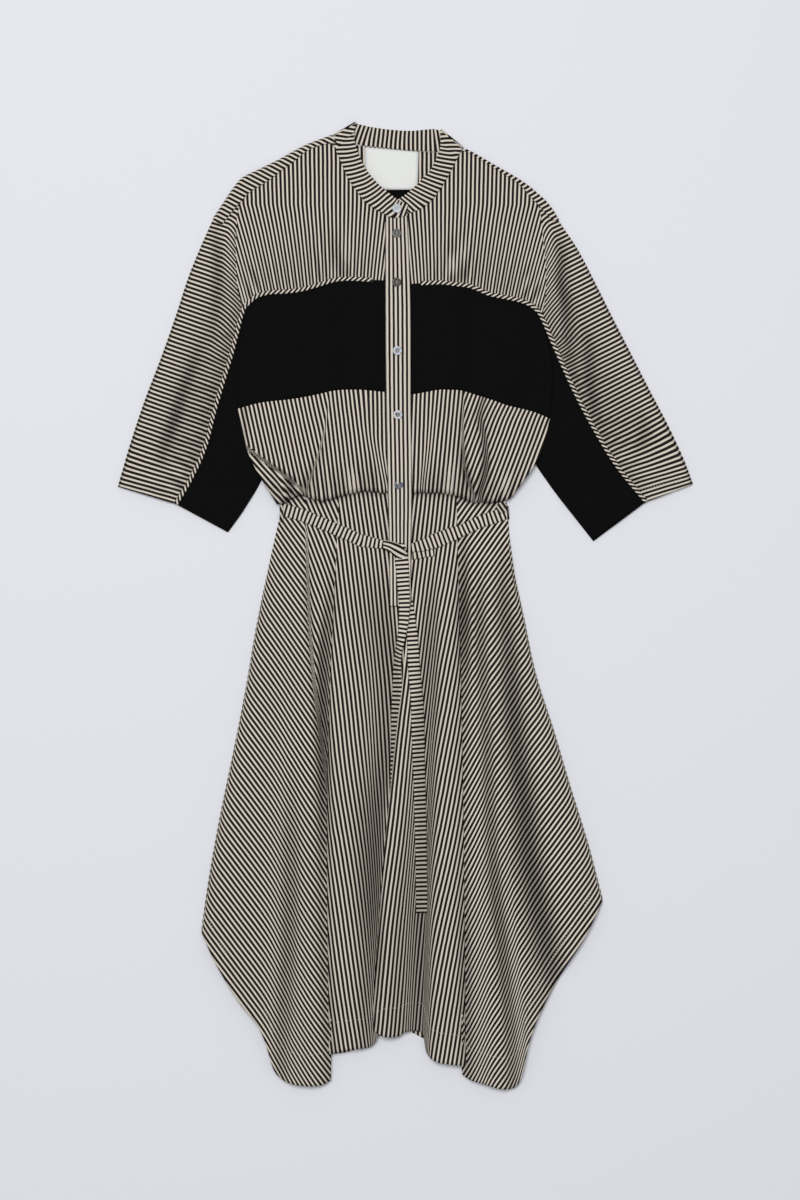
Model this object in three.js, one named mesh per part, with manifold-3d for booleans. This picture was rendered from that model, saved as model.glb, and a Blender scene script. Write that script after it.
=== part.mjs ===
import * as THREE from 'three';
import { mergeVertices } from 'three/addons/utils/BufferGeometryUtils.js';
import Module from 'manifold-3d';

// A striped shirt dress laid flat on its back, in millimetres. X runs to the right of
// a person who looks down on it, Y towards the collar, Z up from the surface.

// Driving dimensions
const WALL = 1.0; // thickness of one cloth wall
const SEAM = 0.3; // gap between two pieces at a seam
const LAYER = 1.6; // rise from one cloth layer to the next
const BACK = WALL / 2; // middle of the walls that lie on the surface
const LOW = BACK + LAYER; // front of the sleeves and of the skirt sides
const HIGH = LOW + LAYER; // front of the bodice and left front of the skirt
const OVER = HIGH + LAYER; // collar, right front of the skirt, belt runs
const TOP = OVER + LAYER; // placket below the waist, left end of the collar
const ABOVE = TOP + LAYER; // knot and belt tails
const WAIST_Y = 141; // seam between bodice and skirt at the centre
const BELT_WIDTH = 16;
const BELT_BACK_Y = 118; // middle of the belt behind the dress
const BELT_MARGIN = 5; // cloth stays raised this far beyond the belt's edges
const BELT_RAMP = 14; // and climbs onto it over this length
const PIPING_WIDTH = 4.6;
const PIPING_HEIGHT = 1.9;
const BUTTON_RADIUS = 5.7;
const BUTTON_HEIGHT = 2.4;

const MATERIALS = {
  stripe: { color: 0x7d756c, roughness: 0.75, metalness: 0 },
  black: { color: 0x0e0e0f, roughness: 0.7, metalness: 0 },
  label: { color: 0xe1e4de, roughness: 0.6, metalness: 0 },
  button: { color: 0x8f9499, roughness: 0.25, metalness: 0 },
};

const table = (names, rows) => rows.map(
  (row) => Object.fromEntries(names.map((name, i) => [name, row[i]])),
);

const clamp01 = (value) => Math.min(1, Math.max(0, value));
const blend = (from, to, value) => {
  const t = clamp01((value - from) / (to - from));
  return t * t * (3 - 2 * t);
};

// Folds
// Each fold is a soft ridge along a straight stretch: height at its crest, width to 1/e,
// and the length over which it grows out of the flat cloth at its start.
const FOLD = ['fromX', 'fromY', 'toX', 'toY', 'height', 'width', 'grows'];
const FOLDS = table(FOLD, [
  [-66, 74, -68, -545, 8, 19, 90],
  [-121, 66, -106, -200, 7, 11, 60],
  [-106, -200, -110, -420, 5, 10],
  [-150, -231, -158, -560, 9, 13],
  [-185, -70, -222, -340, 3, 20],
  [53, 74, 57, -560, 8, 18, 90],
  [95, 66, 110, -250, 8, 12, 60],
  [110, -250, 142, -585, 9, 13],
  [138, -80, 168, -400, 4, 15],
  [182, -130, 212, -330, 3, 14],
  [-112, 238, -124, 156, 5, 15],
  [-56, 245, -60, 156, 6, 20],
  [-186, 192, -146, 160, 4, 8],
  [-172, 158, -150, 140, 3, 7],
  [38, 240, 42, 156, 6, 19],
  [92, 245, 96, 156, 5, 12],
  [150, 215, 122, 156, 4, 13],
  [-98, 385, -92, 285, 2, 12],
  [60, 385, 64, 285, 2, 12],
  [140, 350, 142, 280, 2, 11],
  [-112, 478, -108, 430, 3, 32],
  [95, 478, 92, 430, 3, 32],
  [-236, 440, -318, 175, 3, 28],
  [206, 440, 322, 180, 3, 28],
  [188, 448, 198, 392, 3, 8],
  [187, 226, 202, 146, 2, 9],
]);

function ridge({ fromX, fromY, toX, toY, height, width, grows = 0 }, x, y) {
  const runX = toX - fromX;
  const runY = toY - fromY;
  const length = Math.hypot(runX, runY);
  const share = clamp01(((x - fromX) * runX + (y - fromY) * runY) / (length * length));
  const away = Math.hypot(x - fromX - share * runX, y - fromY - share * runY);
  const grown = grows > 0 ? blend(0, grows, share * length) : 1;
  return height * grown * Math.exp(-((away / width) ** 2));
}

const lift = (x, y) => FOLDS.reduce((sum, fold) => sum + ridge(fold, x, y), 0);

// The belt passes behind the dress, so every layer climbs over it there.
function overBelt(y) {
  const away = Math.abs(y - BELT_BACK_Y) - BELT_WIDTH / 2 - BELT_MARGIN;
  return (WALL + SEAM) * (1 - blend(0, BELT_RAMP, away));
}

const flatAt = (level) => (x, y) => level + overBelt(y);
const foldedAt = (level) => (x, y) => level + overBelt(y) + lift(x, y);

// Lines and panels
// A line is a function from 0 at its head to 1 at its foot that gives [x, y].
function curve(points) {
  const spline = new THREE.CatmullRomCurve3(
    points.map(([x, y]) => new THREE.Vector3(x, y, 0)), false, 'catmullrom', 0.5,
  );
  return (t) => {
    const point = spline.getPoint(t);
    return [point.x, point.y];
  };
}

const fall = ({ headX, headY, footX, footY, bow = 0 }) => curve([
  [headX, headY],
  [(headX + footX) / 2 + bow, (headY + footY) / 2],
  [footX, footY],
]);

const moved = (line, dx, dy) => (t) => {
  const [x, y] = line(t);
  return [x + dx, y + dy];
};

// A line that keeps a distance to the left of its route, or to the right below zero
const beside = (route, offset) => (t) => {
  const step = 1e-3;
  const [x, y] = route(t);
  const [ax, ay] = route(Math.max(0, t - step));
  const [bx, by] = route(Math.min(1, t + step));
  const length = Math.hypot(bx - ax, by - ay);
  return [x - ((by - ay) / length) * offset, y + ((bx - ax) / length) * offset];
};

// Lines between neighbouring lines, on one smooth curve across the panel
function spread(lines, steps) {
  const count = (lines.length - 1) * steps + 1;
  return Array.from({ length: count }, (_, i) => (t) => curve(lines.map((line) => line(t)))(i / (count - 1)));
}

const evenRows = (count) => Array.from({ length: count + 1 }, (_, i) => i / count);

// Columns give each line of a panel its height: height(x, y, u, v)
const laid = (lines, height) => lines.map((line, i) => ({
  line,
  height: (x, y, v) => height(x, y, i / (lines.length - 1), v),
}));

// Cloth that turns under itself round an outer edge, from the height above to the height below
function turned(edge, [outX, outY], above, below, steps = 4) {
  const angles = evenRows(steps).map((share) => share * Math.PI);
  const radiusAt = (x, y) => (above(x, y) - below(x, y)) / 2;
  return angles.map((angle) => ({
    line: (t) => {
      const [x, y] = edge(t);
      const radius = radiusAt(x, y);
      const out = radius * Math.sin(angle) - radius - WALL / 2;
      return [x + outX * out, y + outY * out];
    },
    height: (x, y, v) => {
      const [edgeX, edgeY] = edge(v);
      const radius = radiusAt(edgeX, edgeY);
      return below(edgeX, edgeY) + radius * (1 + Math.cos(angle));
    },
  }));
}

// A closed cloth wall round the middle surface that the columns and rows give
function wall(columns, rows, thickness = WALL) {
  const grid = columns.map(({ line, height }) => rows.map((v) => {
    const [x, y] = line(v);
    return new THREE.Vector3(x, y, height(x, y, v));
  }));
  const wide = columns.length;
  const long = rows.length;
  const at = (i, j) => grid[Math.min(wide - 1, Math.max(0, i))][Math.min(long - 1, Math.max(0, j))];
  const positions = [];
  for (const side of [1, -1]) {
    for (let i = 0; i < wide; i += 1) {
      for (let j = 0; j < long; j += 1) {
        const across = at(i + 1, j).clone().sub(at(i - 1, j));
        const along = at(i, j + 1).clone().sub(at(i, j - 1));
        const normal = across.cross(along).normalize();
        const point = grid[i][j].clone().addScaledVector(normal, (side * thickness) / 2);
        positions.push(point.x, point.y, Math.max(0, point.z));
      }
    }
  }
  const upper = (i, j) => i * long + j;
  const lower = (i, j) => wide * long + i * long + j;
  const faces = [];
  const quad = (a, b, c, d) => faces.push(a, b, c, a, c, d);
  for (let i = 0; i < wide - 1; i += 1) {
    for (let j = 0; j < long - 1; j += 1) {
      quad(upper(i, j), upper(i + 1, j), upper(i + 1, j + 1), upper(i, j + 1));
      quad(lower(i, j), lower(i, j + 1), lower(i + 1, j + 1), lower(i + 1, j));
    }
  }
  for (let i = 0; i < wide - 1; i += 1) {
    quad(upper(i, 0), lower(i, 0), lower(i + 1, 0), upper(i + 1, 0));
    quad(upper(i, long - 1), upper(i + 1, long - 1), lower(i + 1, long - 1), lower(i, long - 1));
  }
  for (let j = 0; j < long - 1; j += 1) {
    quad(upper(0, j), upper(0, j + 1), lower(0, j + 1), lower(0, j));
    quad(upper(wide - 1, j), lower(wide - 1, j), lower(wide - 1, j + 1), upper(wide - 1, j + 1));
  }
  return closed(positions, faces);
}

// Faces are turned round where the lines ran the other way, so that all point out.
function closed(positions, faces) {
  let volume = 0;
  const corner = (k) => new THREE.Vector3(positions[3 * k], positions[3 * k + 1], positions[3 * k + 2]);
  for (let f = 0; f < faces.length; f += 3) {
    volume += corner(faces[f]).dot(corner(faces[f + 1]).cross(corner(faces[f + 2])));
  }
  if (volume < 0) faces.reverse();
  const geometry = new THREE.BufferGeometry();
  geometry.setAttribute('position', new THREE.Float32BufferAttribute(positions, 3));
  geometry.setIndex(faces);
  return geometry;
}

// Joining walls of one piece of cloth
const wasm = await Module();
wasm.setup();

function toSolid(geometry) {
  const bare = new THREE.BufferGeometry();
  bare.setAttribute('position', geometry.getAttribute('position'));
  bare.setIndex(geometry.getIndex());
  const merged = mergeVertices(bare, 1e-5);
  return new wasm.Manifold(new wasm.Mesh({
    numProp: 3,
    vertProperties: new Float32Array(merged.getAttribute('position').array),
    triVerts: new Uint32Array(merged.getIndex().array),
  }));
}

function joined(...geometries) {
  const solid = geometries.map(toSolid).reduce((sum, next) => sum.add(next));
  const mesh = solid.getMesh();
  const geometry = new THREE.BufferGeometry();
  geometry.setAttribute('position', new THREE.Float32BufferAttribute(mesh.vertProperties, 3));
  geometry.setIndex([...mesh.triVerts]);
  return geometry;
}

const dress = new THREE.Group();

function add(name, geometry, finish) {
  geometry.computeVertexNormals();
  const mesh = new THREE.Mesh(geometry, new THREE.MeshStandardMaterial(MATERIALS[finish]));
  mesh.name = name;
  dress.add(mesh);
}

// Front yokes
// Grain lines from the neck and shoulder down to the piping, from the placket outwards
const GRAIN = ['headX', 'headY', 'footX', 'footY', 'bow'];
const YOKE_LEFT = table(GRAIN, [
  [-12, 483, -12, 405],
  [-31, 492, -44, 406],
  [-54, 513, -64, 407],
  [-70, 536, -75, 407],
  [-82, 560, -86, 406],
  [-94, 577, -97, 403],
  [-119, 572, -113, 398],
  [-156, 545, -133, 393],
  [-180, 531, -152, 391],
  [-194, 519, -170, 390],
  [-205, 505, -185, 385.5],
  [-212, 466, -195, 377.5, -2],
  [-213, 425, -202, 367, -2],
]);
const YOKE_RIGHT = table(GRAIN, [
  [-12 + SEAM, 486, -12 + SEAM, 400],
  [19, 495, 27, 402],
  [40, 514, 46, 402.5],
  [52, 533, 58, 401],
  [64, 556, 67, 400],
  [74, 568, 76, 399],
  [92, 554, 87, 396],
  [120, 538, 106, 388],
  [144, 522, 126, 384],
  [158, 512, 142, 380.5],
  [167, 497, 153, 376.5],
  [173, 460, 163, 370, 2],
  [176, 420, 171, 358, 2],
]);
const YOKE_STEPS = 2; // grid steps between grain lines: every second one is a crest
const YOKE_ROWS = [0, 0.25, 0.5, 0.75, 0.92, 1];
const GATHER_HEIGHT = 1.1;

// Gathers stand a little above the seam and die out towards the shoulder.
function gathered(level) {
  const crest = (u) => 0.5 - 0.5 * Math.cos(u * Math.PI * (YOKE_LEFT.length - 1) * YOKE_STEPS);
  const reach = (v) => blend(0.4, 0.9, v) * (1 - 0.75 * blend(0.9, 1, v));
  const besidePlacket = (u) => blend(0.04, 0.14, u);
  return (x, y, u, v) => foldedAt(level)(x, y) + GATHER_HEIGHT * crest(u) * reach(v) * besidePlacket(u);
}

for (const [name, rows] of [['front_yoke_left', YOKE_LEFT], ['front_yoke_right', YOKE_RIGHT]]) {
  const lines = spread(rows.map(fall), YOKE_STEPS);
  add(name, wall(laid(lines, gathered(HIGH)), YOKE_ROWS), 'stripe');
}

// Black bands
// The feet of the grain lines that the bands and the lower bodice share, outwards
const POINT = ['x', 'y'];
const BAND_FOOT_LEFT = table(POINT, [
  [-12, 265], [-38, 267.5], [-56, 269], [-66, 269], [-78, 269], [-92, 267.5],
  [-106, 264], [-126, 260], [-145, 257], [-165, 255], [-185, 252], [-210, 245],
]);
const BAND_FOOT_RIGHT = table(POINT, [
  [-12 + SEAM, 260], [20, 265], [42, 269], [56, 269], [68, 268.5], [78, 266],
  [92, 261.5], [110, 256], [128, 249.5], [145, 245.5], [162, 241], [181, 233],
]);
const BAND_ROWS = evenRows(3);
const BAND_STEPS = 2;

// The outermost line of each side swells over the sleeve by sideBow.
const linesBelow = (heads, feet, sideBow) => feet.map(({ x, y }, i) => fall({
  headX: heads[i].x,
  headY: heads[i].y - SEAM,
  footX: x,
  footY: y,
  bow: i === feet.length - 1 ? sideBow : 0,
}));
const feetOf = (rows) => rows.map(({ footX, footY }) => ({ x: footX, y: footY }));

const bandLeft = spread(linesBelow(feetOf(YOKE_LEFT), BAND_FOOT_LEFT, -2), BAND_STEPS);
const bandRight = spread(linesBelow(feetOf(YOKE_RIGHT), BAND_FOOT_RIGHT, 9), BAND_STEPS);
add('front_band_left', wall(laid(bandLeft, foldedAt(HIGH)), BAND_ROWS), 'black');
add('front_band_right', wall(laid(bandRight, foldedAt(HIGH)), BAND_ROWS), 'black');

// Lower bodice
// It blouses: the cloth swells above the waist and hangs over the top of the skirt.
const WAIST_LEFT = table(POINT, [
  [-12, 141], [-30, 141], [-44, 142], [-56, 142], [-66, 140], [-78, 136.5],
  [-92, 133], [-106, 131], [-120, 134], [-134, 137], [-148, 129], [-160, 126],
]);
const WAIST_RIGHT = table(POINT, [
  [-12 + SEAM, 141], [14, 141], [32, 140], [46, 140], [56, 139], [65, 136],
  [76, 132], [88, 128.5], [100, 128], [112, 129], [122, 130], [133, 135],
]);
const BLOUSE_SWELL = 3.5;
const BLOUSE_STEPS = 2;
const BLOUSE_ROWS = [0, 0.2, 0.42, 0.62, 0.8, 0.93, 1];
const OVERHANG = 2 * LAYER; // its foot lies this much above the level of the bodice
const swell = (v) => BLOUSE_SWELL * blend(0.3, 0.75, v) * (1 - blend(0.8, 1, v));

const bloused = (x, y, u, v) => foldedAt(HIGH)(x, y)
  + OVERHANG * blend(0.35, 0.8, v) + swell(v) * (1 - blend(0.85, 1, u));

const bodiceLeft = spread(linesBelow(BAND_FOOT_LEFT, WAIST_LEFT, -9), BLOUSE_STEPS);
const bodiceRight = spread(linesBelow(BAND_FOOT_RIGHT, WAIST_RIGHT, 10), BLOUSE_STEPS);
add('lower_bodice_left', wall(laid(bodiceLeft, bloused), BLOUSE_ROWS), 'stripe');
add('lower_bodice_right', wall(laid(bodiceRight, bloused), BLOUSE_ROWS), 'stripe');

// Sleeves
// Sections from the shoulder to the cuff, each from the piped seam to the fold of its piece
const SECTION = ['seamX', 'seamY', 'foldX', 'foldY'];
const SLEEVE_LEFT = table(SECTION, [
  [-203, 507, -240, 482],
  [-208, 456, -256, 446],
  [-206, 410, -271, 409],
  [-203, 366, -287, 360],
  [-217, 313, -305, 309],
  [-236, 250, -326, 254],
  [-250, 197, -343, 203],
  [-268, 157, -353, 169],
  [-286, 126, -359, 148],
]);
const SLEEVE_RIGHT = table(SECTION, [
  [165, 500, 190, 483],
  [171, 444, 216, 444],
  [173, 400, 239, 400],
  [172, 357, 261, 356],
  [189, 318, 283, 313],
  [211, 269, 306, 268],
  [235, 223, 328, 226],
  [264, 175, 348, 183],
  [301, 129, 360, 151],
]);
// Underarm folds, from the armhole to the cuff
const UNDERARM_LEFT = table(POINT, [
  [-178, 352],
  [-172, 290],
  [-170, 226],
  [-176, 166],
  [-198, 124],
  [-221, 91],
]);
const UNDERARM_RIGHT = table(POINT, [
  [152, 345],
  [150, 300],
  [150, 250],
  [154, 196],
  [180, 151],
  [235, 80],
]);
const RUCHES = 17; // gathers along the piped seam of each sleeve
const RUCHE_HEIGHT = 1.3;
const RUCHE_FROM = 0.42;
const RUCHE_TO = 0.97;
const ARMHOLE = 3 / 8; // share of the sleeve's sections above the underarm seam
const SLEEVE_SHARES = [0, 0.09, 0.24, 0.55];
const UNDER_SHARES = [0, 0.35, 0.7];
const YOKE_END = 0.06; // share of the sleeve's length that the yoke covers behind

const seamOf = (rows) => curve(rows.map(({ seamX, seamY }) => [seamX, seamY]));
const foldOf = (rows) => curve(rows.map(({ foldX, foldY }) => [foldX, foldY]));
const through = (rows) => curve(rows.map(({ x, y }) => [x, y]));
const between = (lineA, lineB, share) => (t) => {
  const [ax, ay] = lineA(t);
  const [bx, by] = lineB(t);
  return [ax + (bx - ax) * share, ay + (by - ay) * share];
};

const ruchedRows = [
  0, 0.1, 0.2, 0.31,
  ...evenRows(2 * RUCHES).map((share) => RUCHE_FROM + (RUCHE_TO - RUCHE_FROM) * share),
  1,
];

function ruched(x, y, share, v) {
  const along = (v - RUCHE_FROM) / (RUCHE_TO - RUCHE_FROM);
  const inside = along >= 0 && along <= 1 ? 1 : 0;
  const crest = 0.5 - 0.5 * Math.cos(along * 2 * Math.PI * RUCHES);
  const reach = (0.25 + 0.75 * blend(0, 0.08, share)) * (1 - blend(0.12, 0.45, share));
  return foldedAt(LOW)(x, y) + RUCHE_HEIGHT * inside * crest * reach;
}

// Front from the seam to the fold, the turn round the fold, and the back to the same seam.
// Behind, the piece starts lower by the share backStart of its length.
function sleevePiece({ seam, fold, out, shares, rowsAlong, height, backStart = 0 }) {
  const radius = (LOW - BACK) / 2 + WALL / 2;
  const crease = moved(fold, -out[0] * radius, -out[1] * radius);
  const lowered = (line, share) => (t) => line(t + (1 - t) * backStart * share);
  const front = shares.map((share) => ({
    line: between(seam, crease, share),
    height: (x, y, v) => height(x, y, share, v),
  }));
  const turn = turned(fold, out, flatAt(LOW), flatAt(BACK), 2);
  const turnLowered = turn.map(({ line, height: level }, i) => ({
    line: lowered(line, i / (turn.length - 1)),
    height: level,
  }));
  const back = [{ line: lowered(seam, 1), height: flatAt(BACK) }];
  return wall([...front, ...turnLowered, ...back], rowsAlong);
}

const UNDER_ROWS = [0, 0.06, 0.12, 0.2, 0.3, 0.4, 0.5, 0.6, 0.7, 0.8, 0.9, 1];
const UNDER_GAP = 0.7; // between the two sleeve seams, below the piping
for (const { side, rows, underarm, right } of [
  { side: 'left', rows: SLEEVE_LEFT, underarm: UNDERARM_LEFT, right: -1 },
  { side: 'right', rows: SLEEVE_RIGHT, underarm: UNDERARM_RIGHT, right: 1 },
]) {
  const seam = seamOf(rows);
  const belowArmhole = beside((t) => seam(ARMHOLE + (1 - ARMHOLE) * t), -right * UNDER_GAP);
  add(`sleeve_${side}`, sleevePiece({
    seam, fold: foldOf(rows), out: [right, 0.25], shares: SLEEVE_SHARES,
    rowsAlong: ruchedRows, height: ruched, backStart: YOKE_END,
  }), 'stripe');
  add(`under_sleeve_${side}`, sleevePiece({
    seam: belowArmhole, fold: through(underarm), out: [-right * 0.93, -0.35], shares: UNDER_SHARES,
    rowsAlong: UNDER_ROWS, height: foldedAt(LOW),
  }), 'black');
}

// Piping
// One strip runs from the placket along the yoke and down the sleeve seam to the cuff.
const PIPING_CLEAR = 2.45; // middle of the piping above the middle of the cloth below it
const PIPING_CROWN = 0.5;
const PIPING_ROWS = evenRows(34);

function pipingLevel(x, y) {
  return LOW + (HIGH - LOW) * blend(344, 364, y) + PIPING_CLEAR + overBelt(y) + lift(x, y);
}

// A narrow strip along a route, with its middle raised by the crown
function strip(route, width, level, crown, rows, thickness) {
  const columns = [-1, 0, 1].map((side) => ({
    line: beside(route, (side * width) / 2),
    height: (x, y) => level(x, y) + (side === 0 ? crown : 0),
  }));
  return wall(columns, rows, thickness);
}

const pipingRoute = (yoke, sleeve) => curve([
  ...yoke.slice(0, -1).map(({ footX, footY }) => [footX, footY]),
  ...sleeve.slice(3).map(({ seamX, seamY }) => [seamX, seamY]),
]);
for (const [name, yoke, sleeve, start] of [
  ['piping_left', YOKE_LEFT, SLEEVE_LEFT, 0.052], ['piping_right', YOKE_RIGHT, SLEEVE_RIGHT, 0.046],
]) {
  const route = pipingRoute(yoke, sleeve);
  const fromPlacket = (t) => route(start + (1 - start) * t);
  const piping = strip(fromPlacket, PIPING_WIDTH, pipingLevel, PIPING_CROWN, PIPING_ROWS, PIPING_HEIGHT);
  add(name, piping, 'stripe');
}

// Back of the bodice
// The yoke lines run from the neck and shoulder down to the black band.
const YOKE_BACK = table(GRAIN, [
  [-241, 476, -243, 471],
  [-226, 495, -226, 478],
  [-208, 518, -206, 487],
  [-203, 522, -204, 449],
  [-180, 538, -180, 456],
  [-150, 554, -150, 472],
  [-120, 569, -120, 490],
  [-97, 577, -95, 502],
  [-84, 579, -82, 507],
  [-68, 576, -66, 513],
  [-52, 573.5, -50, 516],
  [-31, 571.5, -31, 518.5],
  [-6, 568.5, -6, 519],
  [19, 567, 19, 518.5],
  [41, 565.5, 41, 516],
  [58, 566, 57, 510],
  [70, 564, 68, 505],
  [82, 560, 80, 500],
  [110, 543, 108, 486],
  [137, 527, 137, 468],
  [158, 509, 160, 456],
  [163, 503, 165, 449],
  [166.5, 500, 167, 490],
  [183, 486, 185, 477],
  [191, 477, 194, 471],
]);
const SHOULDER = ['seamX', 'seamY', 'foldX', 'foldY'];
const SHOULDER_LEFT = table(SHOULDER, [
  [-96, 578, -101, 583],
  [-119, 569, -128, 573],
  [-144, 550, -155, 558],
  [-169, 531, -181, 545],
  [-194, 515, -203, 534],
  [-206, 502, -216, 519],
  [-216, 491, -228, 501],
  [-229, 474, -240, 483],
]);
const SHOULDER_RIGHT = table(SHOULDER, [
  [80, 562, 83, 566],
  [105, 546, 109, 551],
  [132, 529, 137, 535],
  [146, 520, 153, 525],
  [156, 510, 165, 515],
  [166, 500, 175, 506],
  [175, 490, 184, 495],
  [183, 482, 192, 482],
]);
const WRAP_INSIDE = 11; // how far the wrapped shoulder joins the back
const BACK_WRAP_WALL = 1.06;

function shoulderWrap(rows, out) {
  const seam = seamOf(rows);
  const fold = foldOf(rows);
  const above = foldedAt(OVER);
  const turn = turned(fold, out, flatAt(OVER), flatAt(BACK));
  const inside = moved(turn.at(-1).line, -out[0] * WRAP_INSIDE, -out[1] * WRAP_INSIDE);
  const columns = [{ line: seam, height: above }, ...turn, { line: inside, height: flatAt(BACK) }];
  return wall(columns, evenRows(12), BACK_WRAP_WALL);
}

const yokeBack = wall(laid(YOKE_BACK.map(fall), flatAt(BACK)), evenRows(1));
add('back_yoke', joined(
  yokeBack, shoulderWrap(SHOULDER_LEFT, [-0.6, 0.8]), shoulderWrap(SHOULDER_RIGHT, [0.6, 0.8]),
), 'stripe');

// Band and lower bodice behind, from the left side to the right side
const BAND_BACK_Y = 250;
const bandBack = [
  curve([[-203.5, 448], [-202.5, 410], [-193, 384], [-171, 366], [-163, 338], [-165, BAND_BACK_Y]]),
  ...YOKE_BACK.slice(4, 20).map(({ footX, footY }) => fall({
    headX: footX, headY: footY - SEAM, footX: footX * 0.9, footY: BAND_BACK_Y,
  })),
  curve([[164.5, 448], [168, 410], [165, 378], [150, 358], [146, 330], [146, BAND_BACK_Y]]),
];
add('back_band', wall(laid(bandBack, flatAt(BACK)), evenRows(5)), 'black');

const BODICE_BACK = table(GRAIN, [
  [-167, 249.7, -160, WAIST_Y, -2],
  [-100, 249.7, -100, WAIST_Y],
  [-40, 249.7, -40, WAIST_Y],
  [20, 249.7, 20, WAIST_Y],
  [80, 249.7, 80, WAIST_Y],
  [146, 249.7, 133, WAIST_Y, 2],
]);
add('back_lower_bodice', wall(laid(BODICE_BACK.map(fall), flatAt(BACK)), [0, 0.3, 0.6, 0.85, 1]), 'stripe');

// Collar
// Lines from the free edge to the neck seam, from the tip of the left front round the back
const EDGES = ['freeX', 'freeY', 'seamX', 'seamY'];
const COLLAR_LEFT = table(EDGES, [
  [4, 499, 1, 486],
  [-9, 506, -15, 483],
  [-21, 515, -27, 489],
  [-34, 526, -40, 496],
  [-47, 541, -52, 506],
  [-55, 556, -62, 519],
  [-60, 569, -71, 532],
  [-63, 580, -80, 553],
  [-63, 591, -88, 571],
]);
const COLLAR_LEFT_FOLD = [[-62, 604], [-93, 586]];
const COLLAR_BACK = table(EDGES, [
  [-44, 597.5, -52, 574],
  [-19, 594, -31, 572],
  [6, 592.5, -6, 569],
  [25, 594, 19, 567.5],
  [36, 595, 41, 566],
]);
const COLLAR_RIGHT_FOLD = [[46, 595], [73, 572]];
const COLLAR_RIGHT = table(EDGES, [
  [44, 584, 68, 563],
  [44, 572, 64, 555],
  [40, 559, 57, 541],
  [31, 542, 49, 527],
  [19, 529, 39, 512],
  [5, 516, 28, 500],
  [-6, 508, 18, 494],
  [-14, 503, 5, 489],
]);
const COLLAR_STAND = 4; // the free edge stands this much above the seam
const edgeLine = ({ freeX, freeY, seamX, seamY }) => curve([[freeX, freeY], [seamX, seamY]]);

// The stand dies out at the tip and at the fold; turnedRound is for lines that start at the fold.
const standAt = (u) => blend(0.2, 0.55, u) * (1 - blend(0.7, 1, u));
const collarLevel = (base, turnedRound) => (x, y, u, v) => (
  base(x, y) + COLLAR_STAND * standAt(turnedRound ? 1 - u : u) * (1 - v)
);
const collarLeftBase = (x, y) => foldedAt(OVER)(x, y) + LAYER * blend(-52, -32, x);
const collarFlat = () => OVER;
const backFlat = () => BACK;
const collar = [
  ...laid(COLLAR_LEFT.map(edgeLine), collarLevel(collarLeftBase, false)),
  ...turned(curve(COLLAR_LEFT_FOLD), [-0.5, 0.86], collarFlat, backFlat),
  ...laid(COLLAR_BACK.map(edgeLine), backFlat),
  ...turned(curve(COLLAR_RIGHT_FOLD), [0.65, 0.76], collarFlat, backFlat).reverse(),
  ...laid(COLLAR_RIGHT.map(edgeLine), collarLevel(foldedAt(OVER), true)),
];
add('collar_band', wall(collar, evenRows(3)), 'stripe');

const LABEL_LEVEL = WALL + SEAM + WALL / 2;
const LABEL = table(GRAIN, [[-50, 572, -50, 519], [17, 566, 16, 519]]);
add('neck_label', wall(laid(LABEL.map(fall), () => LABEL_LEVEL), evenRows(1)), 'label');

// Skirt
const SIDE_LEFT = table(GRAIN, [
  [-72, 143, -86, -586, -6],
  [-88, 142, -102, -597, -4],
  [-102, 140, -120, -600],
  [-112, 138, -138, -598, 4],
  [-122, 136, -153, -592, 2],
  [-130, 134, -164, -579],
  [-136, 132, -173, -550],
  [-142, 130, -184, -524],
  [-147, 128, -207, -495, -2],
  [-150, 127, -234, -451, -4],
]);
const EDGE_LEFT = table(POINT, [
  [-153, 126], [-170, 50], [-186, -27], [-199, -103], [-214, -180], [-230, -257], [-244, -333], [-255, -409],
]);
const SIDE_RIGHT = table(GRAIN, [
  [56, 141, 66, -582, 4],
  [66, 140, 80, -592, 4],
  [76, 139, 97, -597, 3],
  [86, 138, 112, -602],
  [94, 137, 127, -604, -2],
  [100, 136, 139, -600, -4],
  [106, 134, 147, -582, -5],
  [111, 132, 155, -545, -8],
  [116, 131, 170, -506, -10],
  [121, 130, 196, -459, -12],
  [124, 129, 225, -413, -13],
]);
const EDGE_RIGHT = table(POINT, [
  [127, 128], [134, 57], [148.5, -14], [163.5, -85], [186, -156], [207, -227], [229, -298], [247.5, -369],
]);
const SKIRT_ROWS = [0, 0.012, 0.024, 0.05, 0.075, 0.1, 0.13, 0.18, 0.27, 0.38, 0.5, 0.62, 0.75, 0.88, 1];
const SIDE_STEPS = 2;
const BACK_SEAM_LEFT = fall({ headX: -84, headY: 139.7, footX: -97, footY: -562 });
const BACK_SEAM_RIGHT = fall({ headX: 64, headY: 139.7, footX: 76, footY: -562 });

// A side runs from its seam at the front over the folded outer edge to its seam at the back.
function skirtSide(rows, edgePoints, out, backSeam) {
  const edge = curve(edgePoints.map(({ x, y }) => [x, y]));
  const turn = turned(edge, out, flatAt(LOW), flatAt(BACK), 2);
  const lines = spread([...rows.map(fall), turn[0].line], SIDE_STEPS).slice(0, -1);
  const middle = between(turn[0].line, backSeam, 0.5);
  const back = [middle, backSeam].map((line) => ({ line, height: flatAt(BACK) }));
  return wall([...laid(lines, foldedAt(LOW)), ...turn, ...back], SKIRT_ROWS);
}
const besideBackLeft = moved(BACK_SEAM_LEFT, -SEAM, 0);
const besideBackRight = moved(BACK_SEAM_RIGHT, SEAM, 0);
add('skirt_side_left', skirtSide(SIDE_LEFT, EDGE_LEFT, [-1, 0.2], besideBackLeft), 'stripe');
add('skirt_side_right', skirtSide(SIDE_RIGHT, EDGE_RIGHT, [1, 0.25], besideBackRight), 'stripe');

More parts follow.
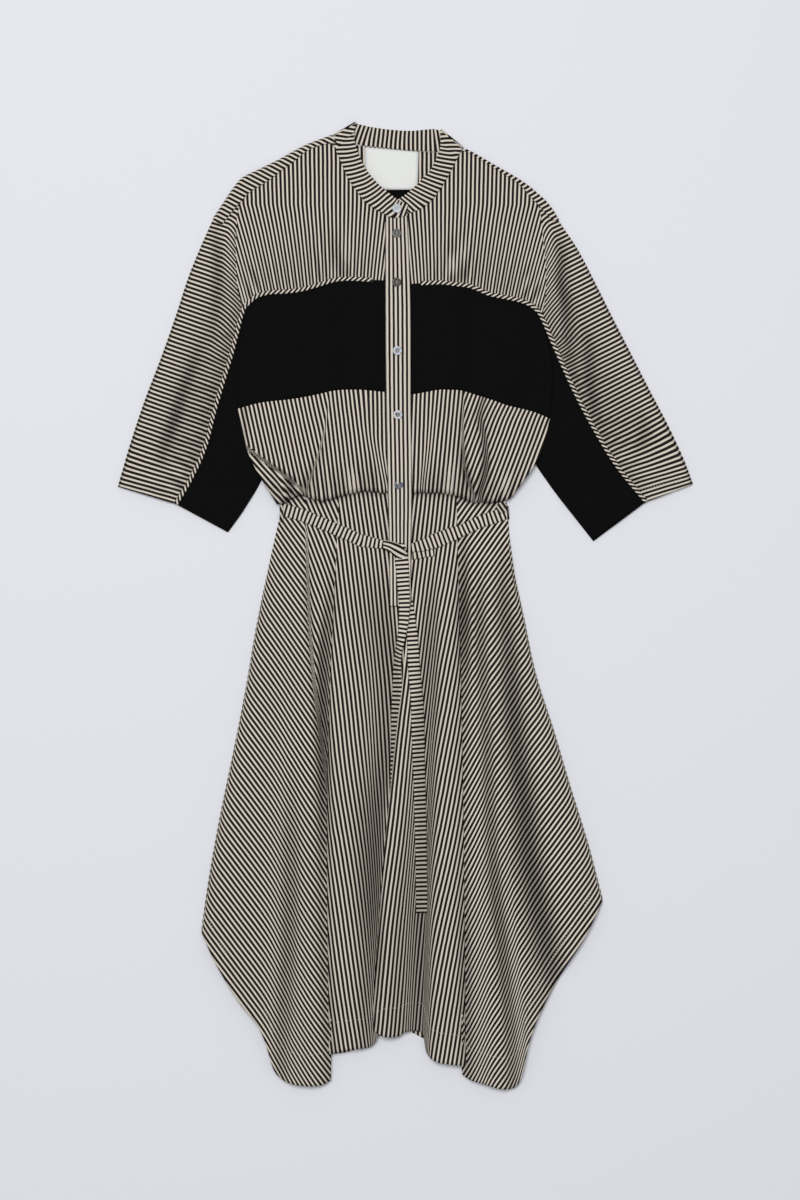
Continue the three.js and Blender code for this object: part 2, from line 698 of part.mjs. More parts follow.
const SKIRT_LEFT = table(GRAIN, [
  [-82, 146, -95, -561, -8],
  [-70, 146, -82, -556.5, -6],
  [-58, 146, -68, -554, -4],
  [-46, 146, -53, -553],
  [-36, 146, -43, -551, 2],
  [-26, 146, -36, -543, 5],
  [-18, 146, -32, -528, 12],
  [-8, 146, -27, -520, 20],
]);
const CENTRE_EDGE = table(POINT, [
  [-11, 146], [-8, 60], [-3, -20], [-2, -85], [-10, -150], [-18, -230], [-26, -310], [-33, -400],
  [-38.5, -480], [-39.5, -531],
]);
const SKIRT_RIGHT = table(GRAIN, [
  [0, 146, -25, -538, 10],
  [6, 146, -9, -538, 6],
  [14, 146, -1, -533.5, 5],
  [22, 146, 11, -531.5, 3],
  [29, 146, 22, -535, 2],
  [36, 146, 27, -558, 3],
  [44, 146, 38, -569, 3],
  [53, 146, 55, -572.5, 1],
  [64, 146, 76, -575, 2],
]);
const SKIRT_STEPS = 2;
const EDGE_RISE = 1.4; // the fronts stand this much clear of the sides along their outer edges
const edgeRise = (y, outward) => EDGE_RISE * blend(0.75, 1, outward) * blend(62, 20, y);
const leftFrontLevel = (x, y, u) => foldedAt(HIGH)(x, y) + edgeRise(y, 1 - u);
const leftLines = spread(SKIRT_LEFT.map(fall), SKIRT_STEPS);
add('skirt_front_left', wall(laid(leftLines, leftFrontLevel), SKIRT_ROWS), 'stripe');

// The right front laps over the left front along the centre edge, and over the short tail.
function centreEdgeX(y) {
  const i = CENTRE_EDGE.findIndex((point, k) => k > 0 && point.y <= y);
  const next = CENTRE_EDGE[i < 0 ? CENTRE_EDGE.length - 1 : i];
  const last = CENTRE_EDGE[i < 0 ? CENTRE_EDGE.length - 2 : i - 1];
  return last.x + ((next.x - last.x) * (last.y - y)) / (last.y - next.y);
}

const [CENTRE_RIDGE] = table(FOLD, [[-1, -90, -24, -532, 7, 12, 80]]);
function rightFrontLevel(x, y) {
  const edgeX = centreEdgeX(y);
  const lap = LAYER * (1 + blend(-6, -55, y)) * (1 - blend(edgeX + 15, edgeX + 34, x));
  return HIGH + lap + overBelt(y) + lift(x, y) + ridge(CENTRE_RIDGE, x, y);
}
const centreLine = curve(CENTRE_EDGE.map(({ x, y }) => [x, y]));
const rightLines = spread([centreLine, ...SKIRT_RIGHT.map(fall)], SKIRT_STEPS);
const rightFront = (x, y, u) => rightFrontLevel(x, y) + edgeRise(y, u);
add('skirt_front_right', wall(laid(rightLines, rightFront), SKIRT_ROWS), 'stripe');

const backHem = (x) => -562 + 34 * Math.exp(-(((x + 8) / 42) ** 2));
const skirtBack = evenRows(6).map((share) => {
  const top = between(BACK_SEAM_LEFT, BACK_SEAM_RIGHT, share)(0);
  const foot = between(BACK_SEAM_LEFT, BACK_SEAM_RIGHT, share)(1);
  return curve([top, [foot[0], backHem(foot[0])]]);
});
add('skirt_back', wall(laid(skirtBack, flatAt(BACK)), SKIRT_ROWS), 'stripe');

// Placket
const PLACKET = table(['y', 'leftX', 'rightX'], [
  [486, -24.5, 3], [381, -25, 7], [256, -24, 7.5], [144, -21.5, 8.5], [75, -20, 7.5], [-1, -19, 7.5],
]);
const PLACKET_HEAD_Y = PLACKET[0].y;
const BODICE_DEPTH = BAND_FOOT_LEFT[0].y - WAIST_Y;
const placketLevel = (x, y) => {
  const v = clamp01((BAND_FOOT_LEFT[0].y - y) / BODICE_DEPTH);
  return foldedAt(OVER + SEAM)(x, y) + OVERHANG * blend(0.35, 0.8, v) + swell(v) - LAYER * blend(138, 118, y);
};
const placketLines = [
  curve(PLACKET.map(({ y, leftX }) => [leftX, y])),
  curve(PLACKET.map(({ y, leftX, rightX }) => [(leftX + rightX) / 2, y])),
  curve(PLACKET.map(({ y, rightX }) => [rightX, y])),
];
add('front_placket', wall(laid(placketLines, placketLevel), evenRows(30)), 'stripe');

// Buttons
// The first one fastens the collar band, the others sit on the placket.
const BUTTONS = table(POINT, [[-10, 495], [-10.5, 464], [-10.5, 403], [-9.5, 317.5], [-9, 237.5], [-8, 150]]);
const BUTTON_PROFILE = [[0, 0], [0.9, 0], [1, 0.5], [0.88, 1], [0.6, 0.8], [0, 0.8]];

function button() {
  const profile = BUTTON_PROFILE.map(([radius, height]) => (
    new THREE.Vector2(radius * BUTTON_RADIUS, height * BUTTON_HEIGHT)
  ));
  const geometry = new THREE.LatheGeometry(profile, 12).rotateX(Math.PI / 2);
  geometry.deleteAttribute('normal');
  geometry.deleteAttribute('uv');
  return mergeVertices(geometry, 1e-4);
}

BUTTONS.forEach(({ x, y }, i) => {
  const under = y > PLACKET_HEAD_Y ? foldedAt(TOP) : placketLevel;
  const level = Math.max(...[-BUTTON_RADIUS, 0, BUTTON_RADIUS].map((dy) => under(x, y + dy)));
  add(`button_${i + 1}`, button().translate(x, y, level + WALL / 2 + SEAM), 'button');
});

// Belt
const RUN = ['upperX', 'upperY', 'lowerX', 'lowerY'];
const BELT_LEFT = table(RUN, [
  [-131, 121, -131, 105],
  [-118, 116, -118, 100],
  [-106, 111, -106, 95],
  [-93, 105.5, -93, 89.5],
  [-81, 100, -81, 84],
  [-68, 94.5, -68, 78.5],
  [-56, 89, -56, 73],
  [-46, 85, -46, 71],
  [-36, 81, -36, 69],
  [-28, 78, -28, 68],
  [-18, 76, -18, 67],
  [-9, 75, -9, 66],
]);
const BELT_RIGHT = table(RUN, [
  [-8.7, 75, -8.7, 66],
  [0, 75.5, 0, 66],
  [8, 76.5, 9, 66],
  [19, 81, 22, 67],
  [31, 86, 34, 70],
  [44, 91, 46, 74.5],
  [56, 95.5, 57, 79],
  [69, 100, 69, 84],
  [82, 106.5, 82, 90],
  [94, 112, 94, 96],
  [106, 116, 108, 100],
]);
const BELT_END_LEFT = [[-158, 127], [-160, 111]];
const BELT_END_RIGHT = [[133, 124], [134, 107]];
const runLine = ({ upperX, upperY, lowerX, lowerY }) => curve([[upperX, upperY], [lowerX, lowerY]]);

// Each run lies on the skirt, climbs onto the lapped front, the placket or the under strip,
// and at its outer end turns round the side of the dress to the surface.
const beltLeftLevel = (x, y) => foldedAt(HIGH)(x, y)
  + LAYER * blend(-106, -92, x) + 2 * LAYER * blend(-44, -26, x);
const beltRightLevel = (x, y) => foldedAt(HIGH)(x, y)
  + LAYER * blend(84, 72, x) + LAYER * blend(54, 38, x) + LAYER * blend(34, 10, x);
const beltEnd = (edge, out) => turned(curve(edge), out, flatAt(HIGH), backFlat);
add('belt_left', wall([
  ...beltEnd(BELT_END_LEFT, [-1, 0]).reverse(),
  ...laid(BELT_LEFT.map(runLine), beltLeftLevel),
], evenRows(2)), 'stripe');
add('belt_right', wall([
  ...laid(BELT_RIGHT.map(runLine), beltRightLevel),
  ...beltEnd(BELT_END_RIGHT, [1, 0]),
], evenRows(2)), 'stripe');

const BELT_REST = table(RUN, [[-154.5, 127, -156.5, 111], [129.5, 124, 130.5, 107]]);
add('belt_back', wall(laid(BELT_REST.map(runLine), backFlat), evenRows(1)), 'stripe');

const BELT_UNDER = table(RUN, [
  [9.5, 72.5, 9, 56.5],
  [17, 73.5, 17, 57.5],
  [26, 75.5, 26, 59.5],
  [36, 77, 37, 61],
]);
const beltUnderLevel = (x, y) => rightFrontLevel(x, y) + LAYER;
add('belt_under', wall(laid(spread(BELT_UNDER.map(runLine), 2), beltUnderLevel), evenRows(3)), 'stripe');

// Knot: a folded piece over the meeting runs
const KNOT = table(GRAIN, [
  [-27, 79, -25, 62], [-20, 81, -18, 54], [-10, 82, -10, 50], [0, 81, -1, 52], [8, 78, 6, 60],
]);
const KNOT_LEVEL = ABOVE + 2 * LAYER;
const KNOT_CROWN = 4;
const knotLevel = (x, y, u, v) => KNOT_LEVEL + lift(x, y)
  + KNOT_CROWN * Math.sin(Math.PI * u) * Math.sin(Math.PI * v) ** 0.7;
add('belt_knot', wall(laid(spread(KNOT.map(fall), 2), knotLevel), evenRows(5)), 'stripe');

// Tails
const TAIL = ['leftX', 'rightX', 'y'];
const TAIL_SHORT = table(TAIL, [
  [-12, 5, 64], [-12, 6, 36], [-11, 6, 6], [-10, 3, -20], [-12.5, -4.5, -42], [-13.5, -5, -62],
  [-14.5, -5, -80], [-15.5, -3, -104], [-17, -3, -135], [-17.5, -4, -170], [-18, -5, -205], [-18, -6, -235],
]);
const TAIL_LONG = table(TAIL, [
  [-2, 11, 62], [1, 13, 26], [3, 15, -10], [2.5, 16.5, -46], [4, 19, -82], [7, 22.5, -118],
  [8, 24, -156], [9.5, 24.5, -194], [11, 25.5, -232], [12, 26.5, -270], [13, 27, -308],
  [13.5, 27.5, -346], [14, 27.5, -384],
]);
const tailLine = ({ leftX, rightX, y }) => curve([[leftX, y], [rightX, y]]);
const TAIL_ROWS = evenRows(4);
const shortLevel = (x, y) => foldedAt(OVER)(x, y) + SEAM + 3 * LAYER * blend(-75, -40, y);
const longLevel = (x, y) => Math.max(
  rightFrontLevel(x, y) + LAYER + SEAM,
  (HIGH + 3 * LAYER) * blend(-48, -14, y),
);
add('belt_tail_short', wall(laid(spread(TAIL_SHORT.map(tailLine), 2), shortLevel), TAIL_ROWS), 'stripe');
add('belt_tail_long', wall(laid(spread(TAIL_LONG.map(tailLine), 2), longLevel), TAIL_ROWS), 'stripe');

// Belt loops
const LOOPS = table(['name', 'x', 'headY', 'footY'], [
  ['belt_loop_left', -148.5, 124, 105], ['belt_loop_right', 119, 123, 101],
]);
const LOOP_WIDTH = 4.5;
for (const { name, x, headY, footY } of LOOPS) {
  const sides = [-LOOP_WIDTH / 2, LOOP_WIDTH / 2].map((dx) => curve([[x + dx, headY], [x + dx, footY]]));
  add(name, wall(laid(sides, foldedAt(OVER)), evenRows(5)), 'stripe');
}

export default dress;
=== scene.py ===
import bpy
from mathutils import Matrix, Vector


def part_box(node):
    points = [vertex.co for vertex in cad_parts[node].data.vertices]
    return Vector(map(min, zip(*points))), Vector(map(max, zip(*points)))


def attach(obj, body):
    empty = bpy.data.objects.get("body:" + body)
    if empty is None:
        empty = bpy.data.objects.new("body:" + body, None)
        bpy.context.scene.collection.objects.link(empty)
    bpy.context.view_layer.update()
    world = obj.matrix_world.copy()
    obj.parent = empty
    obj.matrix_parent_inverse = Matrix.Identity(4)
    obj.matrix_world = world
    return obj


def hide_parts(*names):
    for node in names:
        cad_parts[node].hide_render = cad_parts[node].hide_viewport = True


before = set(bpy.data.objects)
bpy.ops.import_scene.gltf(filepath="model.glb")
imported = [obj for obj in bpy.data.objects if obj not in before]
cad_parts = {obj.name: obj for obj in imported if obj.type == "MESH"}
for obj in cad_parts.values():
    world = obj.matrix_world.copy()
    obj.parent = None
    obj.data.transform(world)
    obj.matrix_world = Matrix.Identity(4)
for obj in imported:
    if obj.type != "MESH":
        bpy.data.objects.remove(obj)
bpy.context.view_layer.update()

import math

import bmesh
import bpy
import numpy as np
from mathutils import Matrix, Vector, noise

# Surface, light and camera
# The dress lies on a plain pale surface. A large soft lamp hangs over it, a little to the upper
# left, and the camera looks straight down, as in the photograph.
bpy.context.scene.view_settings.view_transform = "Standard"
world = bpy.data.worlds.new("soft_room")
bpy.context.scene.world = world
world.use_nodes = True
world.node_tree.nodes["Background"].inputs["Color"].default_value = (0.97, 0.98, 1.0, 1)
world.node_tree.nodes["Background"].inputs["Strength"].default_value = 0.4


def soft_lamp(name, place, size, power):
    lamp = bpy.data.lights.new(name, "AREA")
    lamp.shape = "DISK"
    lamp.size = size
    lamp.energy = power
    holder = bpy.data.objects.new(name, lamp)
    holder.location = place
    holder.rotation_euler = (-Vector(place)).to_track_quat("-Z", "Y").to_euler()
    bpy.context.scene.collection.objects.link(holder)


soft_lamp("upper_lamp", (-0.6, 1.2, 5.0), 2.4, 172)

camera = bpy.data.objects.new("camera", bpy.data.cameras.new("camera"))
bpy.context.scene.collection.objects.link(camera)
bpy.context.scene.camera = camera
camera.location = (-0.00625, 0.00625, 4.0)
camera.data.sensor_width = 36
camera.data.lens = 96
camera.data.clip_end = 30

surface_shape = bmesh.new()
bmesh.ops.create_grid(surface_shape, x_segments=1, y_segments=1, size=12)
bmesh.ops.translate(surface_shape, verts=surface_shape.verts, vec=(0, 0, -0.0004))
surface_mesh = bpy.data.meshes.new("surface")
surface_shape.to_mesh(surface_mesh)
surface_shape.free()
surface = bpy.data.objects.new("surface", surface_mesh)
bpy.context.scene.collection.objects.link(surface)
pale = bpy.data.materials.new("pale_surface")
pale.use_nodes = True
pale.node_tree.nodes["Principled BSDF"].inputs["Base Color"].default_value = (0.765, 0.775, 0.815, 1)
pale.node_tree.nodes["Principled BSDF"].inputs["Roughness"].default_value = 0.9
pale.node_tree.nodes["Principled BSDF"].inputs["Specular IOR Level"].default_value = 0.1
surface_mesh.materials.append(pale)

# Front yokes
# Two striped panels from the neck and the shoulder down to the piping. They are cut with the
# stripes upright, and gathered along the piping, where they stand in small soft waves.
WALL = 1.0
SEAM = 0.3
LAYER = 1.6
BACK = WALL / 2
LOW = BACK + LAYER
HIGH = LOW + LAYER
OVER = HIGH + LAYER
TOP = OVER + LAYER
ABOVE = TOP + LAYER
STRIPE = 5.4
BELT_BACK_Y = 118
BELT_WIDTH = 16

# Folds of the bodice: a soft ridge along a stretch, its height at the crest, its width to 1/e,
# and the length over which it grows out of the flat cloth
FOLDS = [
    (-112, 238, -124, 156, 5, 15, 0),
    (-56, 245, -60, 156, 6, 20, 0),
    (-186, 192, -146, 160, 4, 8, 0),
    (-172, 158, -150, 140, 3, 7, 0),
    (38, 240, 42, 156, 6, 19, 0),
    (92, 245, 96, 156, 5, 12, 0),
    (150, 215, 122, 156, 4, 13, 0),
    (-98, 385, -92, 285, 2, 12, 0),
    (60, 385, 64, 285, 2, 12, 0),
    (140, 350, 142, 280, 2, 11, 0),
    (-112, 478, -108, 430, 3, 32, 0),
    (95, 478, 92, 430, 3, 32, 0),
]

# Valleys of the skirt, which stands out below the belt: the valley's line with its depth as a
# share of that height, and how wide its left and its right slope are, at its head and its foot
STAND_OUT = 15.5
VALLEYS = [
    (
        [(-86, 75, 0), (-91, 6, 0.45), (-100, -60, 0.8), (-102, -130, 1), (-101, -200, 1),
         (-100, -270, 0.7), (-100, -340, 0.45), (-99, -430, 0.45), (-93, -560, 0.5)],
        (8, 7), (9, 8),
    ),
    (
        [(-30, 60, 0), (-24, 0, 0.45), (-16, -60, 0.65), (-14, -120, 0.65), (-21, -190, 0.75),
         (-32, -250, 0.9), (-36, -310, 1), (-38, -380, 1), (-38, -440, 0.8), (-43, -500, 0.6)],
        (34, 8), (13, 9),
    ),
    (
        [(34, 60, 0), (34, 0, 0.45), (34, -110, 0.6), (31, -180, 0.65), (29, -250, 0.75),
         (26, -330, 0.85), (24, -400, 0.85), (22, -540, 0.8)],
        (8, 7), (34, 10),
    ),
    (
        [(74, 110, 0), (74, 60, 0.6), (74, 0, 1), (74, -60, 0.8), (74, -120, 0.4),
         (74, -260, 0.3), (74, -360, 0.4), (75, -430, 0.55), (78, -580, 0.55)],
        (8, 7), (8, 7),
    ),
    (
        [(94, 70, 0), (94, 0, 0.45), (96, -60, 0.55), (100, -120, 0.5), (104, -190, 0.55),
         (106, -250, 0.55), (110, -310, 0.6), (115, -370, 0.7), (122, -430, 0.7), (135, -570, 0.5)],
        (7, 6), (8, 7),
    ),
    (
        [(122, 90, 0), (124, 10, 0.6), (131, -60, 0.75), (135, -120, 0.9), (141, -185, 0.95),
         (149, -245, 1), (155, -310, 1), (165, -370, 1), (178, -435, 0.9), (192, -480, 0.7)],
        (9, 8), (20, 18),
    ),
    (
        [(-123, 90, 0), (-121.5, 50, 0.35), (-118.5, -30, 0.35), (-114, -90, 0.3), (-107, -150, 0.2), (-97, -220, 0)],
        (4, 4), (5, 5),
    ),
    (
        [(-141, -180, 0), (-140, -244, 0.2), (-141, -310, 0.45), (-143, -400, 0.55),
         (-148, -490, 0.5), (-153, -560, 0.4)],
        (11, 9), (10, 9),
    ),
]

# Creases of the lower bodice and the sleeves, in the same form
CREASES = [
    ([(99, 264, 0.4), (94, 235, 1), (100, 205, 1), (102, 172, 1), (95, 140, 1)], (6, 4), (6, 4)),
    ([(73, 262, 0.3), (72, 220, 0.5), (73, 190, 0.7), (76, 165, 0.9), (86, 138, 0.8)], (5, 4), (5, 4)),
    ([(-90, 237, 0), (-100, 200, 0.2), (-112, 172, 0.4), (-124, 146, 0.6)], (7, 7), (7, 7)),
    ([(-200, 198, 0.5), (-186, 187, 0.8), (-165, 173, 0.9), (-142, 158, 0.8)], (5, 4), (5, 4)),
    ([(-240, 482, 0), (-234, 440, 0.6), (-234, 390, 0.6), (-238, 350, 0.3), (-243, 325, 0)], (7, 7), (7, 7)),
    (
        [(-253, 335, 0), (-266, 295, 0.7), (-278, 262, 0.8), (-287, 231, 1), (-298, 200, 0.7), (-304, 170, 0.1)],
        (8, 7), (9, 8),
    ),
    (
        [(189, 475, 0), (195, 440, 0.7), (195, 405, 1), (200, 378, 1), (203, 345, 0.7), (206, 300, 0.6),
         (214, 265, 0.1)],
        (7, 8), (7, 10),
    ),
    ([(226, 350, 0), (230, 322, 0.6), (231, 285, 0.8), (235, 250, 0.8), (243, 222, 0.2)], (7, 8), (7, 8)),
    ([(290, 250, 0), (299, 226, 0.4), (298, 206, 0.6), (289, 186, 0.1)], (9, 9), (9, 9)),
]


def blend(start, end, value):
    t = np.clip((value - start) / (end - start), 0, 1)
    return t * t * (3 - 2 * t)


def ridge(fold, x, y):
    from_x, from_y, to_x, to_y, height, width, grows = fold
    run = np.array([to_x - from_x, to_y - from_y])
    length = math.hypot(*run)
    share = np.clip(((x - from_x) * run[0] + (y - from_y) * run[1]) / length**2, 0, 1)
    away = np.hypot(x - from_x - share * run[0], y - from_y - share * run[1])
    grown = blend(0, grows, share * length) if grows else 1
    return height * grown * np.exp(-((away / width) ** 2))


def followed(points, y):
    """Where a valley's line is at each height of the picture, its depth, and how far down."""
    xs, ys, depths = smooth_weights(len(points), np.linspace(0, 1, 61)).dot(points).T
    down = np.clip((ys[0] - y) / (ys[0] - ys[-1]), 0, 1)
    return np.interp(-y, -ys, xs), np.interp(-y, -ys, depths), down


def valley(points, head_slopes, foot_slopes, x, y):
    """What is left of the height beside a valley's line."""
    centre, depth, down = followed(points, y)
    left = head_slopes[0] + (foot_slopes[0] - head_slopes[0]) * down
    right = head_slopes[1] + (foot_slopes[1] - head_slopes[1]) * down
    away = (x - centre) / np.where(x < centre, left, right)
    return 1 - depth * np.exp(-(away**2))


def gone_under(lines, amount, x, y):
    """Cloth that has gone into the creases from the left up to here."""
    total = 0
    for points, head_slopes, _ in lines:
        centre, depth, _ = followed(points, y)
        total = total + amount * depth * blend(-head_slopes[0], head_slopes[1], x - centre)
    return total


def left_over(lines, x, y):
    """What is left of the height where all these valleys cross it, from 0 to 1."""
    return np.prod([valley(*one, x, y) for one in lines], axis=0)


def lift(x, y):
    belt_y = 62 + 0.34 * np.minimum(np.abs(x + 8), 125) - 60 * blend(150, 200, np.abs(x))
    stands_out = STAND_OUT * blend(0, 110, belt_y - y)
    return stands_out * left_over(VALLEYS, x, y) + sum(ridge(fold, x, y) for fold in FOLDS)


def over_belt(y):
    away = np.abs(y - BELT_BACK_Y) - BELT_WIDTH / 2 - 5
    return (WALL + SEAM) * (1 - blend(0, 14, away))


def flat_at(level):
    return lambda x, y: level + over_belt(y)


def folded_at(level):
    return lambda x, y: level + over_belt(y) + lift(x, y)


def smooth_weights(count, shares):
    """How much each of the points on a smooth curve counts at each share of its length."""
    weights = np.zeros((len(shares), count))
    for row, share in enumerate(shares):
        index = min(int(share * (count - 1)), count - 2)
        t = share * (count - 1) - index
        four = (
            0.5 * (2 * t**2 - t - t**3),
            0.5 * (2 - 5 * t**2 + 3 * t**3),
            0.5 * (t + 4 * t**2 - 3 * t**3),
            0.5 * (t**3 - t**2),
        )
        for k, weight in zip(range(index - 1, index + 3), four):
            if k < 0:
                weights[row, 0] += 2 * weight
                weights[row, 1] -= weight
            elif k > count - 1:
                weights[row, -1] += 2 * weight
                weights[row, -2] -= weight
            else:
                weights[row, k] += weight
    return weights


def line(points, shares):
    return smooth_weights(len(points), shares) @ np.array(points, float)


def fall(head_x, head_y, foot_x, foot_y, bow=0):
    return [(head_x, head_y), ((head_x + foot_x) / 2 + bow, (head_y + foot_y) / 2), (foot_x, foot_y)]


def panel(lines, across, along):
    """Plan of a panel between grain lines, as [across, along, xy]."""
    down = np.array([line(points, along) for points in lines])
    return np.einsum("uk,kvc->uvc", smooth_weights(len(lines), across), down)


def shares(count):
    return np.linspace(0, 1, count + 1)


def raised(plan, height):
    """The panel's points, with a height for each place in plan."""
    return np.dstack([plan, np.broadcast_to(height, plan.shape[:2])])


def on_object(name, shape, material):
    mesh = bpy.data.meshes.new(name)
    shape.to_mesh(mesh)
    shape.free()
    mesh.materials.append(material)
    piece = bpy.data.objects.new(name, mesh)
    bpy.context.scene.collection.objects.link(piece)
    return piece


def cloth(name, points, pattern, material, shade=0, thickness=WALL, nodes=None):
    """A cloth piece from its middle surface and its place on the flat cloth, in mm.

    The shade, from 0 to 1, is painted shade: how much the cloth's colour is darkened, as at the bottom of a fold."""
    wide, long = points.shape[:2]
    shape = bmesh.new()
    bmesh.ops.create_grid(shape, x_segments=wide - 1, y_segments=long - 1, size=1)
    chart = shape.loops.layers.uv.new("cloth")
    # Painted shade: each point keeps how much its colour is darkened in folds and along edges.
    depth = shape.verts.layers.float.new("painted_fold_shade")
    shade = np.broadcast_to(shade, points.shape[:2])
    places = {}
    for vertex in shape.verts:
        i = round((vertex.co.x + 1) / 2 * (wide - 1))
        j = round((vertex.co.y + 1) / 2 * (long - 1))
        places[vertex] = (i, j)
        vertex.co = points[i, j] / 1000
        vertex[depth] = shade[i, j]
    for face in shape.faces:
        face.smooth = True
        for corner in face.loops:
            corner[chart].uv = pattern[places[corner.vert]] / 1000
    shape.normal_update()
    first = sum(face.normal.z for face in shape.faces if all(places[v][0] < 3 for v in face.verts))
    if first < 0:
        bmesh.ops.reverse_faces(shape, faces=shape.faces)
    piece = on_object(name if nodes else f"{name}_cloth", shape, material)
    wall = piece.modifiers.new("wall", "SOLIDIFY")
    wall.thickness = thickness / 1000
    wall.offset = 0
    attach(piece, "root")
    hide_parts(*(nodes or [name]))
    return piece


def wired(material, **sockets):
    """Sets sockets of the material's shader by name."""
    shader = material.node_tree.nodes["Principled BSDF"]
    for name, value in sockets.items():
        shader.inputs[name.replace("_", " ")].default_value = value
    return shader


def calculated(tree, operation, *values):
    node = tree.nodes.new("ShaderNodeMath")
    node.operation = operation
    for socket, value in zip(node.inputs, values):
        if isinstance(value, (int, float)):
            socket.default_value = value
        else:
            tree.links.new(value, socket)
    return node.outputs[0]


def woven(tree, cloth_x, cloth_y, yarn):
    """Height of a plain weave, one yarn over and one under."""
    warp = calculated(tree, "SINE", calculated(tree, "MULTIPLY", cloth_x, math.tau / yarn))
    weft = calculated(tree, "SINE", calculated(tree, "MULTIPLY", cloth_y, math.tau / yarn))
    return calculated(tree, "MULTIPLY", warp, weft)


def striped(name, cream, dark, angle=0, period=STRIPE, dark_share=0.58):
    """Shirting with cream and near-black stripes of the same width, woven in the yarn, its colour darkened by painted
    shade in folds.
    """
    material = bpy.data.materials.new(name)
    material.use_nodes = True
    tree = material.node_tree
    shader = wired(material, Roughness=0.8, Specular_IOR_Level=0.06, Sheen_Weight=0.0)
    chart = tree.nodes.new("ShaderNodeUVMap")
    chart.uv_map = "cloth"
    turn = tree.nodes.new("ShaderNodeMapping")
    turn.inputs["Rotation"].default_value = (0, 0, math.radians(angle))
    tree.links.new(chart.outputs["UV"], turn.inputs["Vector"])
    parts = tree.nodes.new("ShaderNodeSeparateXYZ")
    tree.links.new(turn.outputs["Vector"], parts.inputs[0])
    cloth_x, cloth_y = parts.outputs["X"], parts.outputs["Y"]

    wander = tree.nodes.new("ShaderNodeTexNoise")
    wander.inputs["Scale"].default_value = 55
    wander.inputs["Detail"].default_value = 1
    tree.links.new(turn.outputs["Vector"], wander.inputs["Vector"])
    shift = calculated(tree, "MULTIPLY", calculated(tree, "SUBTRACT", wander.outputs["Fac"], 0.5), 0.0006)
    placed = calculated(tree, "DIVIDE", calculated(tree, "ADD", cloth_x, shift), period / 1000)
    swing = calculated(tree, "PINGPONG", placed, 0.5)
    edge = tree.nodes.new("ShaderNodeMapRange")
    edge.interpolation_type = "SMOOTHSTEP"
    edge.inputs["From Min"].default_value = dark_share / 2 - 0.025
    edge.inputs["From Max"].default_value = dark_share / 2 + 0.025
    tree.links.new(swing, edge.inputs["Value"])

    slub_place = tree.nodes.new("ShaderNodeMapping")
    slub_place.inputs["Scale"].default_value = (2600, 120, 1)
    tree.links.new(turn.outputs["Vector"], slub_place.inputs["Vector"])
    slub = tree.nodes.new("ShaderNodeTexNoise")
    slub.inputs["Scale"].default_value = 1
    slub.inputs["Detail"].default_value = 2
    tree.links.new(slub_place.outputs["Vector"], slub.inputs["Vector"])

    tint = tree.nodes.new("ShaderNodeMix")
    tint.data_type = "RGBA"
    tint.inputs["A"].default_value = (*dark, 1)
    tint.inputs["B"].default_value = (*cream, 1)
    tree.links.new(edge.outputs["Result"], tint.inputs["Factor"])
    shade = tree.nodes.new("ShaderNodeHueSaturation")
    brightness = calculated(tree, "MULTIPLY_ADD", slub.outputs["Fac"], 0.24, 0.88)
    # Painted shade: the piece's fold shade value darkens the colour, down to 38 % at full shade.
    depth = tree.nodes.new("ShaderNodeAttribute")
    depth.attribute_name = "painted_fold_shade"
    painted_shade_factor = calculated(tree, "MULTIPLY_ADD", depth.outputs["Fac"], -0.62, 1)
    tree.links.new(calculated(tree, "MULTIPLY", brightness, painted_shade_factor), shade.inputs["Value"])
    tree.links.new(tint.outputs["Result"], shade.inputs["Color"])
    tree.links.new(shade.outputs["Color"], shader.inputs["Base Color"])

    relief = tree.nodes.new("ShaderNodeBump")
    relief.inputs["Strength"].default_value = 0.25
    relief.inputs["Distance"].default_value = 0.00008
    tree.links.new(woven(tree, cloth_x, cloth_y, 0.00052), relief.inputs["Height"])
    tree.links.new(relief.outputs["Normal"], shader.inputs["Normal"])
    return material


CREAM = (0.675, 0.61, 0.52)
DARK = (0.0145, 0.0105, 0.0098)
shirting = striped("striped_cloth", CREAM, DARK)
taut = striped("striped_taut", CREAM, DARK, dark_share=0.52)

YOKE_LEFT = [
    (-12, 483, -12, 405),
    (-31, 492, -44, 406),
    (-54, 513, -64, 407),
    (-70, 536, -75, 407),
    (-82, 560, -86, 406),
    (-94, 577, -97, 403),
    (-119, 572, -113, 398),
    (-156, 545, -133, 393),
    (-180, 531, -152, 391),
    (-194, 519, -170, 390),
    (-205, 505, -185, 385.5),
    (-212, 466, -195, 377.5, -2),
    (-213, 425, -202, 367, -2),
]
YOKE_RIGHT = [
    (-11.7, 486, -11.7, 400),
    (19, 495, 27, 402),
    (40, 514, 46, 402.5),
    (52, 533, 58, 401),
    (64, 556, 67, 400),
    (75, 569, 76, 399),
    (93, 558.5, 87, 396),
    (121.5, 542, 106, 388),
    (146, 526, 126, 384),
    (159, 514, 142, 380.5),
    (167, 497, 153, 376.5),
    (173, 460, 163, 370, 2),
    (176, 420, 171, 358, 2),
]


def feet(rows):
    return [(row[2], row[3]) for row in rows]


def fanned(x, y, centre):
    """Place across stripes that stand upright at the centre and fan out upwards from the gathers."""
    return 1.03 * (x - centre) * np.exp(0.0023 * np.maximum(500 - y, 0.2 * (500 - y)))


def waves(u, count, jitter):
    """Uneven gathers side by side, between 0 and 1."""
    place = u * count
    place = place + jitter * (np.sin(place * 2.1) + 0.6 * np.sin(place * 0.83 + 1))
    return 0.5 - 0.5 * np.cos(place * math.tau)


